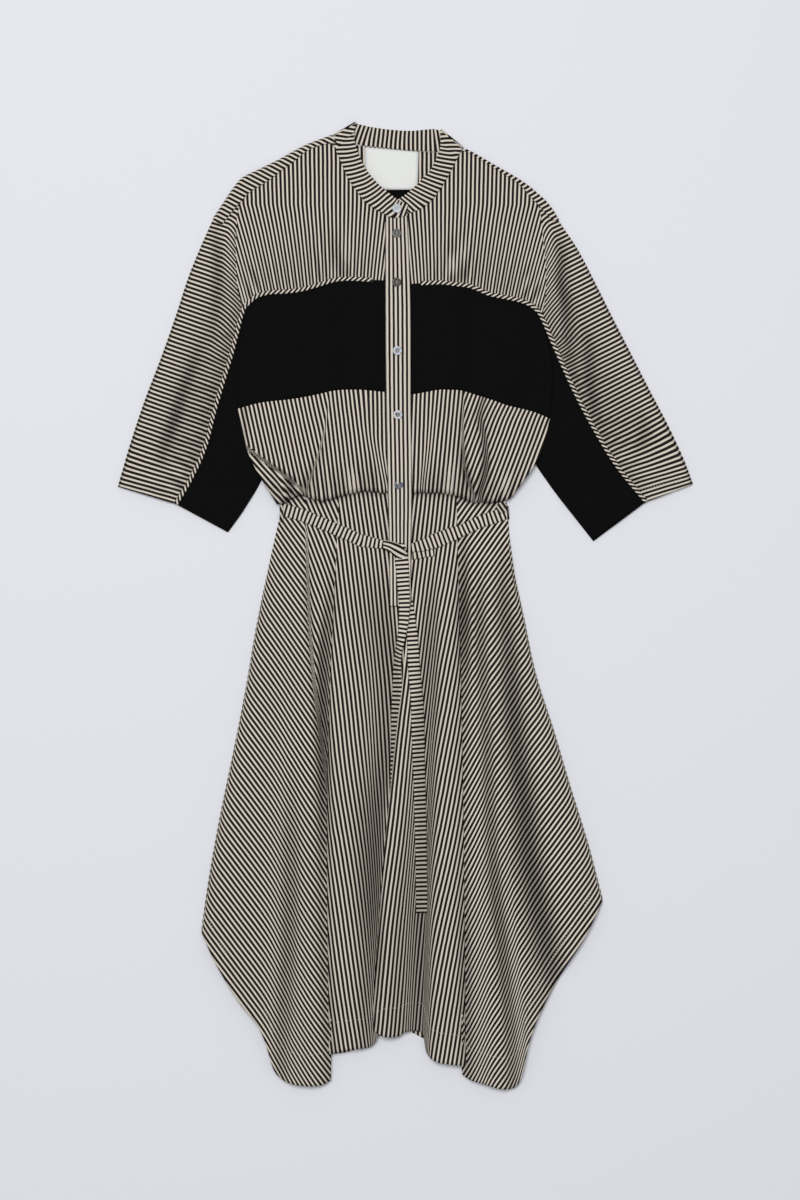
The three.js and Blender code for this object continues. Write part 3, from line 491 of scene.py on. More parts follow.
for name, rows, gathers, centre in (
    ("front_yoke_left", YOKE_LEFT, 25, -81),
    ("front_yoke_right", YOKE_RIGHT, 23, 45),
):
    u = shares(150)
    v = shares(60)
    plan = panel([fall(*row) for row in rows], u, v)
    x, y = plan[:, :, 0], plan[:, :, 1]
    crest = waves(u, gathers, 0.12)[:, None]
    deep = 0.6 + 0.4 * np.sin(u * 31)[:, None]
    reach = blend(0.45, 0.93, v)[None, :] * (1 - 0.75 * blend(0.93, 1, v)[None, :])
    gathered = 1.7 * crest * deep * reach * blend(0.04, 0.14, u)[:, None]
    way = 1 if plan[-1, 0, 0] > 0 else -1
    across = fanned(x, y, centre) + 0.3 * way * np.gradient(crest, axis=0) * reach
    pattern = np.dstack([across, y])
    # Painted shade in the hollows between the gathers.
    shade = 0.5 * (1 - crest) * reach * blend(0.04, 0.14, u)[:, None]
    yoke = cloth(name, raised(plan, folded_at(HIGH)(x, y) + gathered), pattern, shirting, shade)

# Black bands
# A plain black panel each side, between the piping and the lower bodice. Soft upright folds
# from the gathers run on through them.
POINTS_LEFT = [
    (-12, 265), (-38, 267.5), (-56, 269), (-66, 269), (-78, 269), (-92, 267.5),
    (-106, 264), (-126, 260), (-145, 257), (-165, 255), (-185, 252), (-210, 245),
]
POINTS_RIGHT = [
    (-11.7, 260), (20, 265), (42, 269), (56, 269), (68, 268.5), (78, 266),
    (92, 261.5), (110, 256), (128, 249.5), (145, 245.5), (162, 241), (181, 233),
]

black = bpy.data.materials.new("black_cloth")
black.use_nodes = True
wired(black, Roughness=0.88, Specular_IOR_Level=0.03)
black_tree = black.node_tree
black_chart = black_tree.nodes.new("ShaderNodeUVMap")
black_chart.uv_map = "cloth"
black_parts = black_tree.nodes.new("ShaderNodeSeparateXYZ")
black_tree.links.new(black_chart.outputs["UV"], black_parts.inputs[0])
black_mottle = black_tree.nodes.new("ShaderNodeTexNoise")
black_mottle.inputs["Scale"].default_value = 420
black_mottle.inputs["Detail"].default_value = 3
black_tree.links.new(black_chart.outputs["UV"], black_mottle.inputs["Vector"])
black_ramp = black_tree.nodes.new("ShaderNodeValToRGB")
black_ramp.color_ramp.elements[0].color = (0.003, 0.003, 0.0032, 1)
black_ramp.color_ramp.elements[1].color = (0.0055, 0.0055, 0.006, 1)
black_tree.links.new(black_mottle.outputs["Fac"], black_ramp.inputs["Fac"])
black_tree.links.new(
    black_ramp.outputs["Color"], black_tree.nodes["Principled BSDF"].inputs["Base Color"]
)
black_relief = black_tree.nodes.new("ShaderNodeBump")
black_relief.inputs["Strength"].default_value = 0.3
black_relief.inputs["Distance"].default_value = 0.0001
black_tree.links.new(
    woven(black_tree, black_parts.outputs["X"], black_parts.outputs["Y"], 0.0006),
    black_relief.inputs["Height"],
)
black_tree.links.new(
    black_relief.outputs["Normal"], black_tree.nodes["Principled BSDF"].inputs["Normal"]
)


def lines_between(heads, foot_points, side_bow):
    last = len(foot_points) - 1
    return [
        fall(head[0], head[1] - SEAM, foot[0], foot[1], side_bow if i == last else 0)
        for i, (head, foot) in enumerate(zip(heads, foot_points))
    ]


for name, rows, foot_points, side_bow, below in (
    ("front_band_left", YOKE_LEFT, POINTS_LEFT, -2, "back_band"),
    ("front_band_right", YOKE_RIGHT, POINTS_RIGHT, 9, "back_band"),
):
    u = shares(70)
    v = shares(36)
    plan = panel(lines_between(feet(rows)[:-2] + feet(rows)[-1:], foot_points, side_bow), u, v)
    x, y = plan[:, :, 0], plan[:, :, 1]
    soft = 0.5 * waves(u, 12, 0.15)[:, None] * (1 - blend(0, 0.5, v))[None, :]
    band = cloth(name, raised(plan, folded_at(HIGH)(x, y) + soft), plan, black)

# Lower bodice
# Striped panels between the black bands and the waist. Their foot is gathered into the waist
# and blouses over the top of the skirt.
WAIST_LEFT = [
    (-12, 141), (-30, 141), (-44, 142), (-56, 142), (-66, 140), (-78, 136.5),
    (-92, 133), (-106, 131), (-120, 134), (-134, 137), (-148, 129), (-160, 126),
]
WAIST_RIGHT = [
    (-11.7, 141), (14, 141), (32, 140), (46, 140), (56, 139), (65, 136),
    (76, 132), (88, 128.5), (100, 128), (112, 129), (122, 130), (133, 135),
]
OVERHANG = 2 * LAYER


def bloused(v):
    """How the bodice stands out over the waist, and turns in at its foot."""
    out = OVERHANG * blend(0.35, 0.8, v) + 3 * blend(0.2, 0.6, v)
    return out + 3.5 * blend(0.3, 0.75, v) * (1 - blend(0.8, 1, v))


def waist_shade(x, y):
    """Painted shadow on the skirt just below the foot of the bodice."""
    foot = np.array(WAIST_LEFT[::-1] + WAIST_RIGHT)
    return 0.75 * (1 - blend(0, 9, np.interp(x, foot[:, 0], foot[:, 1]) - y))


def straight(x, y, degrees):
    """Place across straight stripes that stand at an angle."""
    return x * math.sin(math.radians(degrees)) - y * math.cos(math.radians(degrees))


def creased_stripes(x, y, degrees, changes, plan_x=None):
    """Straight stripes whose slant changes at each crease, where the cloth goes under."""
    plan_x = x if plan_x is None else plan_x
    across = straight(x, y, degrees)
    offset = 0
    for points, next_degrees, width in changes:
        top_x, top_y = points[0][:2]
        offset = offset + straight(top_x, top_y, degrees) - straight(top_x, top_y, next_degrees)
        degrees = next_degrees
        share = blend(-width, width, plan_x - followed(points, y)[0])
        across = across + (straight(x, y, degrees) + offset - across) * share
    return across


CHANGES_LEFT = [
    ([(-94, 262, 0), (-99, 226, 0), (-107, 191, 0), (-124, 140, 0)], 97, 1.5),
    ([(-52, 235, 0), (-44, 209, 0), (-31, 182, 0), (-18, 150, 0)], 91, 12),
]
CHANGES_RIGHT = [
    ([(36, 262, 0), (32, 212, 0), (22, 150, 0)], 84.5, 7),
    ([(73, 262, 0), (72, 220, 0), (73, 190, 0), (76, 165, 0), (86, 138, 0)], 70, 1.5),
    ([(98, 262, 0), (94, 230, 0), (101, 203, 0), (102, 170, 0), (95, 140, 0)], 69, 1.5),
]
for name, head_points, foot_points, side_bow, degrees, changes in (
    ("lower_bodice_left", POINTS_LEFT, WAIST_LEFT, -9, 102.5, CHANGES_LEFT),
    ("lower_bodice_right", POINTS_RIGHT, WAIST_RIGHT, 10, 88, CHANGES_RIGHT),
):
    u = shares(130)
    v = shares(70)
    plan = panel(lines_between(head_points, foot_points, side_bow), u, v)
    tucks = waves(u, 17, 0.16)[:, None] * (0.6 + 0.4 * np.sin(u * 23))[:, None]
    reach = blend(0.55, 0.97, v)[None, :] * blend(0.03, 0.12, u)[:, None]
    plan[:, :, 1] -= 1.6 * tucks * blend(0.9, 1, v)[None, :]
    x, y = plan[:, :, 0], plan[:, :, 1]
    creased = left_over(CREASES, x, y)
    height = folded_at(HIGH)(x, y) + bloused(v)[None, :] * (1 - (1 - creased) * blend(0, 0.1, u)[:, None])
    height = height + 2 * tucks * reach - 3 * blend(0.965, 1, v) * blend(0, 0.06, u)[:, None]
    across = 1.03 * creased_stripes(x, y, degrees, changes)
    twisted = blend(-1.5, 1.5, 198 - 0.739 * (x + 200) - y) * (x < -128)
    across = across + (straight(x, y, 132) - across) * twisted
    way = 1 if plan[-1, 0, 0] > 0 else -1
    across = across + way * (gone_under(CREASES[:1], 5, x, y) + 1.1 * np.gradient(tucks, axis=0) * reach)
    pattern = np.dstack([across, y])
    # Painted shade in the creases, between the tucks, and along the foot where it turns under.
    shade = 1 - creased * (1 - 0.4 * (1 - tucks) * reach) * (1 - 0.6 * blend(0.95, 1, v))
    bodice = cloth(name, raised(plan, height), pattern, shirting, shade)

# Sleeves
# Each sleeve is striped in front and turns under at its outer fold. The seam under the piping
# is gathered, and a black piece fills the underarm and turns under at its own fold.
SLEEVE_LEFT = [
    (-203, 507, -240, 482),
    (-208, 456, -256, 446),
    (-206, 410, -271, 409),
    (-203, 366, -287, 360),
    (-217, 313, -305, 309),
    (-236, 250, -326, 254),
    (-250, 197, -343, 203),
    (-268, 157, -353, 169),
    (-286, 126, -359, 148),
]
SLEEVE_RIGHT = [
    (165, 500, 190, 483),
    (171, 444, 216, 444),
    (173, 400, 239, 400),
    (172, 357, 261, 356),
    (189, 318, 283, 313),
    (211, 269, 306, 268),
    (235, 223, 328, 226),
    (264, 175, 348, 183),
    (301, 129, 360, 151),
]
UNDERARM_LEFT = [(-178, 352), (-172, 290), (-170, 226), (-176, 166), (-198, 124), (-221, 91)]
UNDERARM_RIGHT = [(152, 345), (150, 300), (150, 250), (154, 196), (180, 151), (235, 80)]
RUCHES = 17
RUCHE_FROM = 0.42
RUCHE_TO = 0.97
ARMHOLE = 3 / 8


def rounded(away, radius):
    """How a cloth that stands up rounds over towards an edge, from 0 at the edge to 1."""
    return np.sqrt(1 - (1 - np.clip(away / radius, 0, 1)) ** 2)


def turned(edge, out, above, below, steps=6):
    """Cloth that turns under itself round an outer edge, from one height to another."""
    radius = (above - below) / 2
    columns = []
    for angle in shares(steps) * math.pi:
        reach = radius * math.sin(angle) - radius - WALL / 2
        plan = edge + np.outer(reach, out)
        columns.append(np.column_stack([plan, below + radius * (1 + math.cos(angle))]))
    return np.array(columns)


def unfolded(points, kept, sideways, widened=1.0, fixed=0):
    """Where each point lies on the flat cloth, laid out sideways from the fixed line.

    Beyond the kept columns the cloth turns under, and goes on sideways all the same."""
    step = np.diff(points, axis=0)
    length = np.linalg.norm(step, axis=2)
    plan = np.linalg.norm(step[:, :, :2], axis=2)
    widened = np.broadcast_to(widened, points.shape[:2])[1:]
    more = length * widened - plan
    more[kept:] = length[kept:] - sideways * step[kept:, :, 0]
    more = np.cumsum(more, axis=0)
    soft = np.hanning(min(45, 2 * (points.shape[1] // 5) + 1))
    soft = soft / soft.sum()
    half = len(soft) // 2
    padded = np.pad(more, ((0, 0), (half, half)), mode="reflect", reflect_type="odd")
    more = np.array([np.convolve(row, soft, "valid") for row in padded])
    more = np.concatenate([np.zeros((1, points.shape[1])), more])
    flat = points[:, :, :2].copy()
    flat[:, :, 0] += sideways * (more - more[fixed])
    return flat


def slanted(flat, degrees, shift=0.0):
    """Stripes at an angle to the flat cloth, as place across and along them."""
    angle = math.radians(degrees)
    across = -flat[:, :, 0] * math.sin(angle) + flat[:, :, 1] * math.cos(angle) + shift
    along = flat[:, :, 0] * math.cos(angle) + flat[:, :, 1] * math.sin(angle)
    return np.dstack([across, along])


thread = bpy.data.materials.new("pale_thread")
thread.use_nodes = True
wired(thread, Base_Color=(0.62, 0.57, 0.49, 1), Roughness=0.8, Specular_IOR_Level=0.1)


def stitched(name, route, length=2.6, gap=1.3, width=0.5):
    """A row of small stitches lying on the cloth along a route, in mm."""
    step = np.linalg.norm(np.diff(route, axis=0), axis=1)
    travelled = np.concatenate([[0], np.cumsum(step)])
    shape = bmesh.new()
    starts = np.arange(1, travelled[-1] - length, length + gap)
    for start in starts:
        ends = [
            Vector([np.interp(start + more, travelled, route[:, k]) for k in range(3)]) / 1000
            for more in (0, length)
        ]
        turn = (ends[1] - ends[0]).to_track_quat("X", "Z").to_matrix().to_4x4()
        place = Matrix.Translation((ends[0] + ends[1]) / 2) @ turn
        size = Matrix.Diagonal((length / 2000, width / 2000, width / 2500, 1))
        bmesh.ops.create_icosphere(shape, subdivisions=1, radius=1, matrix=place @ size)
    for face in shape.faces:
        face.smooth = True
    seam = on_object(name, shape, thread)
    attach(seam, "root")


for side, rows, underarm, right, tilt, pulled in (
    ("left", SLEEVE_LEFT, UNDERARM_LEFT, -1, -19, 14),
    ("right", SLEEVE_RIGHT, UNDERARM_RIGHT, 1, 27, 20),
):
    v = shares(240)
    front = shares(30) ** 1.35
    seam_points = [row[:2] for row in rows]
    seam = line(seam_points, v)
    fold = line([row[2:] for row in rows], v)
    out = np.array([right, 0.25])
    radius = (LOW - BACK) / 2 + WALL / 2
    crease = fold - out * radius
    plan = seam[None] + (crease - seam)[None] * front[:, None, None]
    x, y = plan[:, :, 0], plan[:, :, 1]
    place = (v - RUCHE_FROM) / (RUCHE_TO - RUCHE_FROM)
    inside = blend(0, 0.06, place) * (1 - blend(0.94, 1, place))
    crest = waves(place, RUCHES, 0.1)
    long_one = 0.3 + 0.14 * np.sin(place * 47) + 0.08 * np.sin(place * 19 + 2)
    reach = (0.3 + 0.7 * blend(0, 0.08, front))[:, None] * (
        1 - blend(0.06, 1, front[:, None] / (1.6 * long_one[None, :]))
    )
    creased = left_over(CREASES, x, y)
    filled = 6 * blend(0, 0.2, front)[:, None] * blend(0, 0.12, v) * (1 - 0.5 * blend(0.9, 1, v))
    away = np.linalg.norm(plan - crease[None], axis=2)
    height = folded_at(LOW)(x, y) + 2.3 * reach * (inside * crest)[None, :]
    height = height + filled * creased * rounded(away, 9)
    cloth_front = raised(plan, height)
    # Painted shade in the creases and between the ruches, and broadly over the half near the seam.
    broad = 0.32 * (1 - blend(0.35, 0.95, front))[:, None] * blend(0.15, 0.4, v) * (1 - blend(0.75, 0.9, v))
    shade = 1 - creased * (1 - 0.5 * reach * (inside * (1 - crest))[None, :]) * (1 - broad)
    under = flat_at(BACK)(fold[:, 0], fold[:, 1])
    bend = turned(fold, out, flat_at(LOW)(fold[:, 0], fold[:, 1]), under)
    tail = bend[-1, :, :2][None] + (seam - bend[-1, :, :2])[None] * shares(4)[1:, None, None]
    cloth_back = raised(tail, flat_at(BACK)(tail[:, :, 0], tail[:, :, 1]))
    points = np.concatenate([cloth_front, bend, cloth_back])
    flat = unfolded(points, len(front) - 1, right)
    gather = blend(0, 0.15, v) * (1 - blend(0.42, 0.58, v))
    near = np.zeros(len(points))
    near[: len(front)] = (1 - np.clip(front / (0.45 + 0.07 * right), 0, 1)) ** 1.5
    shift = pulled * near[:, None] * gather[None, :]
    level = (0.06 + 0.12 * (right > 0)) * np.abs(points[:, :, 0] - seam[None, :, 0])
    pattern = slanted(flat, tilt, shift + level * blend(0.7, 0.95, v))
    shade = np.concatenate([shade, np.zeros((len(points) - len(front), len(v)))])
    sleeve = cloth(f"sleeve_{side}", points, pattern, shirting, shade)
    stitched(f"cuff_stitches_{side}", points[1 : len(front) - 2, 231] + np.array([0, 0, 0.6]))

    v = shares(70)
    lower = line(seam_points, ARMHOLE + (1 - ARMHOLE) * v)
    run = np.gradient(lower, axis=0)
    run = run / np.linalg.norm(run, axis=1)[:, None]
    lower = lower + np.column_stack([-run[:, 1], run[:, 0]]) * (-right * 0.7)
    fold = line(underarm, v)
    out = np.array([-right * 0.93, -0.35])
    crease = fold - out * radius
    plan = lower[None] + (crease - lower)[None] * shares(24)[:, None, None]
    cloth_front = raised(plan, folded_at(LOW)(plan[:, :, 0], plan[:, :, 1]))
    under = flat_at(BACK)(fold[:, 0], fold[:, 1])
    bend = turned(fold, out, flat_at(LOW)(fold[:, 0], fold[:, 1]), under)
    tail = bend[-1, :, :2][None] + (lower - bend[-1, :, :2])[None] * shares(4)[1:, None, None]
    cloth_back = raised(tail, flat_at(BACK)(tail[:, :, 0], tail[:, :, 1]))
    points = np.concatenate([cloth_front, bend, cloth_back])
    under_sleeve = cloth(f"under_sleeve_{side}", points, unfolded(points, 24, -right), black)

# Piping
# A corded strip of the same shirting, cut on the bias so that its stripes run across it at a
# slant. It is sewn into the seam from the placket along the yoke and down to the cuff.
bias = striped("striped_bias", CREAM, DARK, angle=45, period=4.6)


def piping_level(x, y):
    return LOW + (HIGH - LOW) * blend(344, 364, y) + 2.45 + over_belt(y) + lift(x, y)


for name, yoke, sleeve, start in (
    ("piping_left", YOKE_LEFT, SLEEVE_LEFT, 0.052),
    ("piping_right", YOKE_RIGHT, SLEEVE_RIGHT, 0.046),
):
    v = start + (1 - start) * shares(320)
    route = line([(row[2], row[3]) for row in yoke[:-1]] + [row[:2] for row in sleeve[3:]], v)
    run = np.gradient(route, axis=0)
    run = run / np.linalg.norm(run, axis=1)[:, None]
    beside = np.column_stack([-run[:, 1], run[:, 0]])
    travelled = np.concatenate([[0], np.cumsum(np.linalg.norm(np.diff(route, axis=0), axis=1))])
    columns = []
    for side in np.linspace(-1, 1, 9):
        plan = route + beside * side * 2.3
        crown = 1.1 * math.sqrt(max(0, 1 - side * side)) - 0.6
        columns.append(np.column_stack([plan, piping_level(plan[:, 0], plan[:, 1]) + crown]))
    points = np.array(columns)
    across = np.linspace(-3, 3, 9)[:, None] + np.zeros(len(v))[None, :]
    pattern = np.dstack([across, np.broadcast_to(travelled, across.shape)])
    piping = cloth(name, points, pattern, bias)

# Back of the bodice
# The back yoke is one striped piece that wraps forward over both shoulders. Below it come a
# black band across the back and a striped lower back, which lie on the surface.
YOKE_BACK = [
    (-241, 476, -243, 471),
    (-226, 495, -226, 478),
    (-208, 518, -206, 487),
    (-203, 522, -204, 449),
    (-180, 538, -180, 456),
    (-150, 554, -150, 472),
    (-120, 569, -120, 490),
    (-97, 577, -95, 502),
    (-84, 579, -82, 507),
    (-68, 576, -66, 513),
    (-52, 573.5, -50, 516),
    (-31, 571.5, -31, 518.5),
    (-6, 568.5, -6, 519),
    (19, 567, 19, 518.5),
    (41, 565.5, 41, 516),
    (58, 566, 57, 510),
    (70, 564, 68, 505),
    (82, 560, 80, 500),
    (110, 543, 108, 486),
    (137, 527, 137, 468),
    (158, 509, 160, 456),
    (163, 503, 165, 449),
    (166.5, 500, 167, 490),
    (183, 486, 185, 477),
    (191, 477, 194, 471),
]
SHOULDER_LEFT = [
    (-84, 576, -92, 587),
    (-96, 576, -103, 583),
    (-119, 569, -128, 573),
    (-144, 550, -155, 558),
    (-169, 531, -181, 545),
    (-194, 515, -203, 534),
    (-206, 502, -216, 519),
    (-216, 491, -228, 501),
    (-229, 474, -240, 483),
]
SHOULDER_RIGHT = [
    (71, 568, 73, 571),
    (83, 563, 85, 565.5),
    (107, 548, 109, 551.5),
    (134, 531, 137, 535.5),
    (147, 521, 153, 525),
    (156, 510, 165, 515),
    (166, 500, 175, 506),
    (175, 490, 184, 495),
    (183, 482, 192, 482),
]
v = shares(6)
plan = panel([fall(*row) for row in YOKE_BACK], shares(48), v)
yoke_back = raised(plan, flat_at(BACK)(plan[:, :, 0], plan[:, :, 1]))
back_yoke = cloth("back_yoke", yoke_back, plan, shirting)

for name, rows, out, tilt, flat_size, area in (
    ("shoulder_wrap_left", SHOULDER_LEFT, (-0.6, 0.8), -28, (0.04, 0.19), 0.0052),
    ("shoulder_wrap_right", SHOULDER_RIGHT, (0.6, 0.8), 28, (0.026, 0.145), 0.0033),
):
    v = shares(60)
    seam = line([row[:2] for row in rows], v)
    fold = line([row[2:] for row in rows], v)
    out = np.array(out)
    above = flat_at(OVER)(fold[:, 0], fold[:, 1])
    bend = turned(fold, out, above, flat_at(BACK)(fold[:, 0], fold[:, 1]) + 0.06, 10)
    plan = seam[None] + (bend[0, :, :2] - seam)[None] * shares(5)[:-1, None, None]
    top = raised(plan, folded_at(OVER)(plan[:, :, 0], plan[:, :, 1]))
    inner = np.column_stack([bend[-1, :, :2] - out * 11, bend[-1, :, 2]])[None]
    points = np.concatenate([top, bend, inner])
    wrap = cloth(name, points, slanted(unfolded(points, 5, 1), tilt), shirting, 0, 1.06, ["back_yoke"])

BAND_BACK_Y = 250
v = shares(20)
back_lines = [
    [(-203.5, 448), (-202.5, 410), (-193, 384), (-171, 366), (-163, 338), (-165, BAND_BACK_Y)],
    *[fall(row[2], row[3] - SEAM, row[2] * 0.9, BAND_BACK_Y) for row in YOKE_BACK[4:20]],
    [(164.5, 448), (168, 410), (165, 378), (150, 358), (146, 330), (146, BAND_BACK_Y)],
]
plan = panel(back_lines, shares(40), v)
back_band = cloth("back_band", raised(plan, flat_at(BACK)(plan[:, :, 0], plan[:, :, 1])), plan, black)

BODICE_BACK = [
    (-167, 249.7, -160, 141, -2),
    (-100, 249.7, -100, 141),
    (-40, 249.7, -40, 141),
    (20, 249.7, 20, 141),
    (80, 249.7, 80, 141),
    (146, 249.7, 133, 141, 2),
]
plan = panel([fall(*row) for row in BODICE_BACK], shares(40), shares(30))
points = raised(plan, flat_at(BACK)(plan[:, :, 0], plan[:, :, 1]))
lower_back = cloth("back_lower_bodice", points, plan, shirting)

# Collar
# A stand band with the stripes across it, folded down flat with its ends lapped at the front.
# It runs from the left front round the back of the neck to the right front.
COLLAR_LEFT = [
    (4, 499, 1, 486),
    (-9, 506, -15, 483),
    (-21, 515, -27, 489),
    (-34, 526, -40, 496),
    (-47, 541, -52, 506),
    (-55, 556, -62, 519),
    (-60, 569, -71, 532),
    (-63, 580, -80, 553),
    (-63, 591, -88, 571),
]
COLLAR_BACK = [
    (-44, 597.5, -52, 574),
    (-19, 594, -31, 572),
    (6, 592.5, -6, 569),
    (25, 594, 19, 567.5),
    (36, 595, 41, 566),
]
COLLAR_RIGHT = [
    (44, 584, 68, 563),
    (44, 572, 64, 555),
    (40, 559, 57, 541),
    (31, 542, 49, 527),
    (19, 529, 39, 512),
    (5, 516, 28, 500),
    (-6, 508, 18, 494),
    (-14, 503, 5, 489),
]
LEFT_FOLD = [(-62, 604), (-93, 586)]
RIGHT_FOLD = [(46, 595), (73, 572)]


def band_lines(rows, count, down):
    """Lines across the collar, from its free edge to its seam."""
    free = line([row[:2] for row in rows], shares(count))
    seam = line([row[2:] for row in rows], shares(count))
    return free[:, None] + (seam - free)[:, None] * down[None, :, None]


down = shares(12)
flat_level = np.full(len(down), OVER)
rest_level = np.full(len(down), BACK)
left = band_lines(COLLAR_LEFT, 64, down)
x, y = left[:, :, 0], left[:, :, 1]
u = shares(64)[:, None]
stand = 4 * blend(0.2, 0.55, u) * (1 - blend(0.7, 1, u)) * (1 - down[None, :])
left = raised(left, folded_at(OVER)(x, y) + LAYER * blend(-52, -32, x) + stand)
left_turn = turned(line(LEFT_FOLD, down), np.array([-0.5, 0.86]), flat_level, rest_level, 10)
back = band_lines(COLLAR_BACK, 30, down)
back = raised(back, np.full(back.shape[:2], BACK))
right_turn = turned(line(RIGHT_FOLD, down), np.array([0.65, 0.76]), flat_level, rest_level, 10)[::-1]
right = band_lines(COLLAR_RIGHT, 60, down)
x, y = right[:, :, 0], right[:, :, 1]
u = 1 - shares(60)[:, None]
stand = 4 * blend(0.2, 0.55, u) * (1 - blend(0.7, 1, u)) * (1 - down[None, :])
right = raised(right, folded_at(OVER)(x, y) + stand)
points = np.concatenate([left, left_turn, back, right_turn, right])
middle = points[:, 6]
travelled = np.concatenate([[0], np.cumsum(np.linalg.norm(np.diff(middle, axis=0), axis=1))])
run = np.gradient(middle, axis=0)
run = run / np.linalg.norm(run, axis=1)[:, None]
forward = ((points - middle[:, None]) * run[:, None]).sum(axis=2)
beside = points[:, :, 1] * run[:, None, 0] - points[:, :, 0] * run[:, None, 1]
beside = beside - beside[:, 6][:, None]
slant = np.interp(np.arange(len(points)), [0, 70, 80, 100, 112, 178], [-0.3, -0.22, 0, 0, 0.22, 0.4])
pattern = np.dstack([travelled[:, None] + forward + slant[:, None] * beside, beside])
collar = cloth("collar_band", points, pattern, shirting)

# Neck label
# A small off-white woven label, bare, sewn flat inside the neck.
label_cloth = bpy.data.materials.new("label_cloth")
label_cloth.use_nodes = True
wired(label_cloth, Base_Color=(0.745, 0.755, 0.735, 1), Roughness=0.55, Specular_IOR_Level=0.3)
label_tree = label_cloth.node_tree
label_chart = label_tree.nodes.new("ShaderNodeUVMap")
label_chart.uv_map = "cloth"
label_parts = label_tree.nodes.new("ShaderNodeSeparateXYZ")
label_tree.links.new(label_chart.outputs["UV"], label_parts.inputs[0])
label_relief = label_tree.nodes.new("ShaderNodeBump")
label_relief.inputs["Strength"].default_value = 0.2
label_relief.inputs["Distance"].default_value = 0.00006
label_tree.links.new(
    woven(label_tree, label_parts.outputs["X"], label_parts.outputs["Y"], 0.0004),
    label_relief.inputs["Height"],
)
label_tree.links.new(
    label_relief.outputs["Normal"], label_tree.nodes["Principled BSDF"].inputs["Normal"]
)
plan = panel([fall(-50, 572, -50, 519), fall(17, 566, 16, 519)], shares(16), shares(14))
label = cloth("neck_label", raised(plan, np.full(plan.shape[:2], 1.8)), plan, label_cloth, 0, 0.8)

# Skirt sides
# The side panels are cut with the stripes on a slant, and fold round the outer edge to the
# back. Deep soft folds fall from the waist and sink beside the front panels.
SIDE_LEFT = [
    (-72, 143, -92.5, -593, -5),
    (-88, 150, -104, -598.5, -4),
    (-102, 150, -120, -600, 0),
    (-112, 149, -138, -598, 4),
    (-122, 146, -153, -592, 2),
    (-130, 142, -164, -579, 0),
    (-136, 138, -173, -550, 0),
    (-142, 133, -184, -524, 0),
    (-147, 128, -207, -495, -2),
    (-150, 127, -234, -451, -4),
]
EDGE_LEFT = [
    (-153, 126), (-170, 50), (-186, -27), (-199, -103), (-214, -180), (-230, -257), (-244, -333), (-255, -409),
]
SIDE_RIGHT = [
    (56, 141, 71, -585, 4),
    (66, 149, 80, -592, 4),
    (76, 148, 97, -597, 3),
    (86, 147, 112, -602, 0),
    (94, 146, 127, -604, -2),
    (100, 143, 139, -600, -4),
    (106, 139, 147, -582, -5),
    (111, 135, 155, -545, -8),
    (116, 131, 170, -506, -10),
    (121, 130, 196, -459, -12),
    (124, 129, 225, -413, -13),
]
EDGE_RIGHT = [
    (127, 128), (134, 57), (148.5, -14), (163.5, -85), (186, -156), (207, -227), (229, -298), (247.5, -369),
]
BACK_SEAM_LEFT = fall(-84, 139.7, -97, -562)
BACK_SEAM_RIGHT = fall(64, 139.7, 76, -562)

# Cloth that goes in at a fold and doesn't show: the fold's line from its top to its foot, its
# width, and how much goes in at the top and at the foot. The stripes crowd together there.
TAKEN_IN_LEFT = [
    (-150, 20, -141, -560, 50, 2, 16),
]
TAKEN_IN_RIGHT = [
    (90, 0, 98, -560, 24, 0, 13),
    (108, -180, 142, -560, 20, 0, 11),
]


def crowded(x, y, taken_in):
    """How many times wider the flat cloth is than what shows of it."""
    more = 0
    for from_x, from_y, to_x, to_y, width, at_top, at_foot in taken_in:
        share = np.clip((from_y - y) / (from_y - to_y), 0, 1)
        centre = from_x + (to_x - from_x) * share
        amount = at_top + (at_foot - at_top) * share
        bell = np.exp(-(((x - centre) / (width / 2)) ** 2)) / (width / 2 * math.sqrt(math.pi))
        more = more + amount * bell
    return 1 + more


def at_hem(v):
    """The skirt sinks a little towards its hem."""
    return 1 - 0.4 * blend(0.88, 1, v)


def skirt_side(name, rows, edge_points, out, back_seam, moved, taken_in, degrees, changes):
    v = shares(170)
    out = np.array(out)
    edge = line(edge_points, v)
    above = flat_at(LOW)(edge[:, 0], edge[:, 1])
    bend = turned(edge, out, above, flat_at(BACK)(edge[:, 0], edge[:, 1]))
    lines = np.array([line(fall(*row), v) for row in rows] + [bend[0, :, :2]])
    across = 1 - (1 - shares(110)) ** 1.3
    front = np.einsum("uk,kvc->uvc", smooth_weights(len(lines), across), lines)[:-1]
    x, y = front[:, :, 0], front[:, :, 1]
    away = np.abs(x - bend[0, :, 0])
    height = LOW + over_belt(y) + lift(x, y) * rounded(away, 15) * at_hem(v)
    seam = line(back_seam, v) + np.array([moved, 0])
    tail = bend[-1, :, :2][None] + (seam - bend[-1, :, :2])[None] * shares(5)[1:, None, None]
    behind = raised(tail, flat_at(BACK)(tail[:, :, 0], tail[:, :, 1]))
    points = np.concatenate([raised(front, height), bend, behind])
    widened = crowded(points[:, :, 0], points[:, :, 1], taken_in)
    flat = unfolded(points, len(front) - 1, np.sign(out[0]), widened, 84)
    x, y = points[:, :, 0], points[:, :, 1]
    # Painted shade in the skirt's valleys, and a painted shadow just below the foot of the bodice.
    shade = np.maximum(1 - left_over(VALLEYS, x, y), waist_shade(x, y))
    shade[len(front):] = 0
    across = creased_stripes(flat[:, :, 0], flat[:, :, 1], degrees, changes, x)
    piece = cloth(name, points, np.dstack([across, flat[:, :, 1]]), shirting, shade)
    stitched(f"{name}_stitches", points[2 : len(front) - 3, 161] + np.array([0, 0, 0.6]))
    return piece


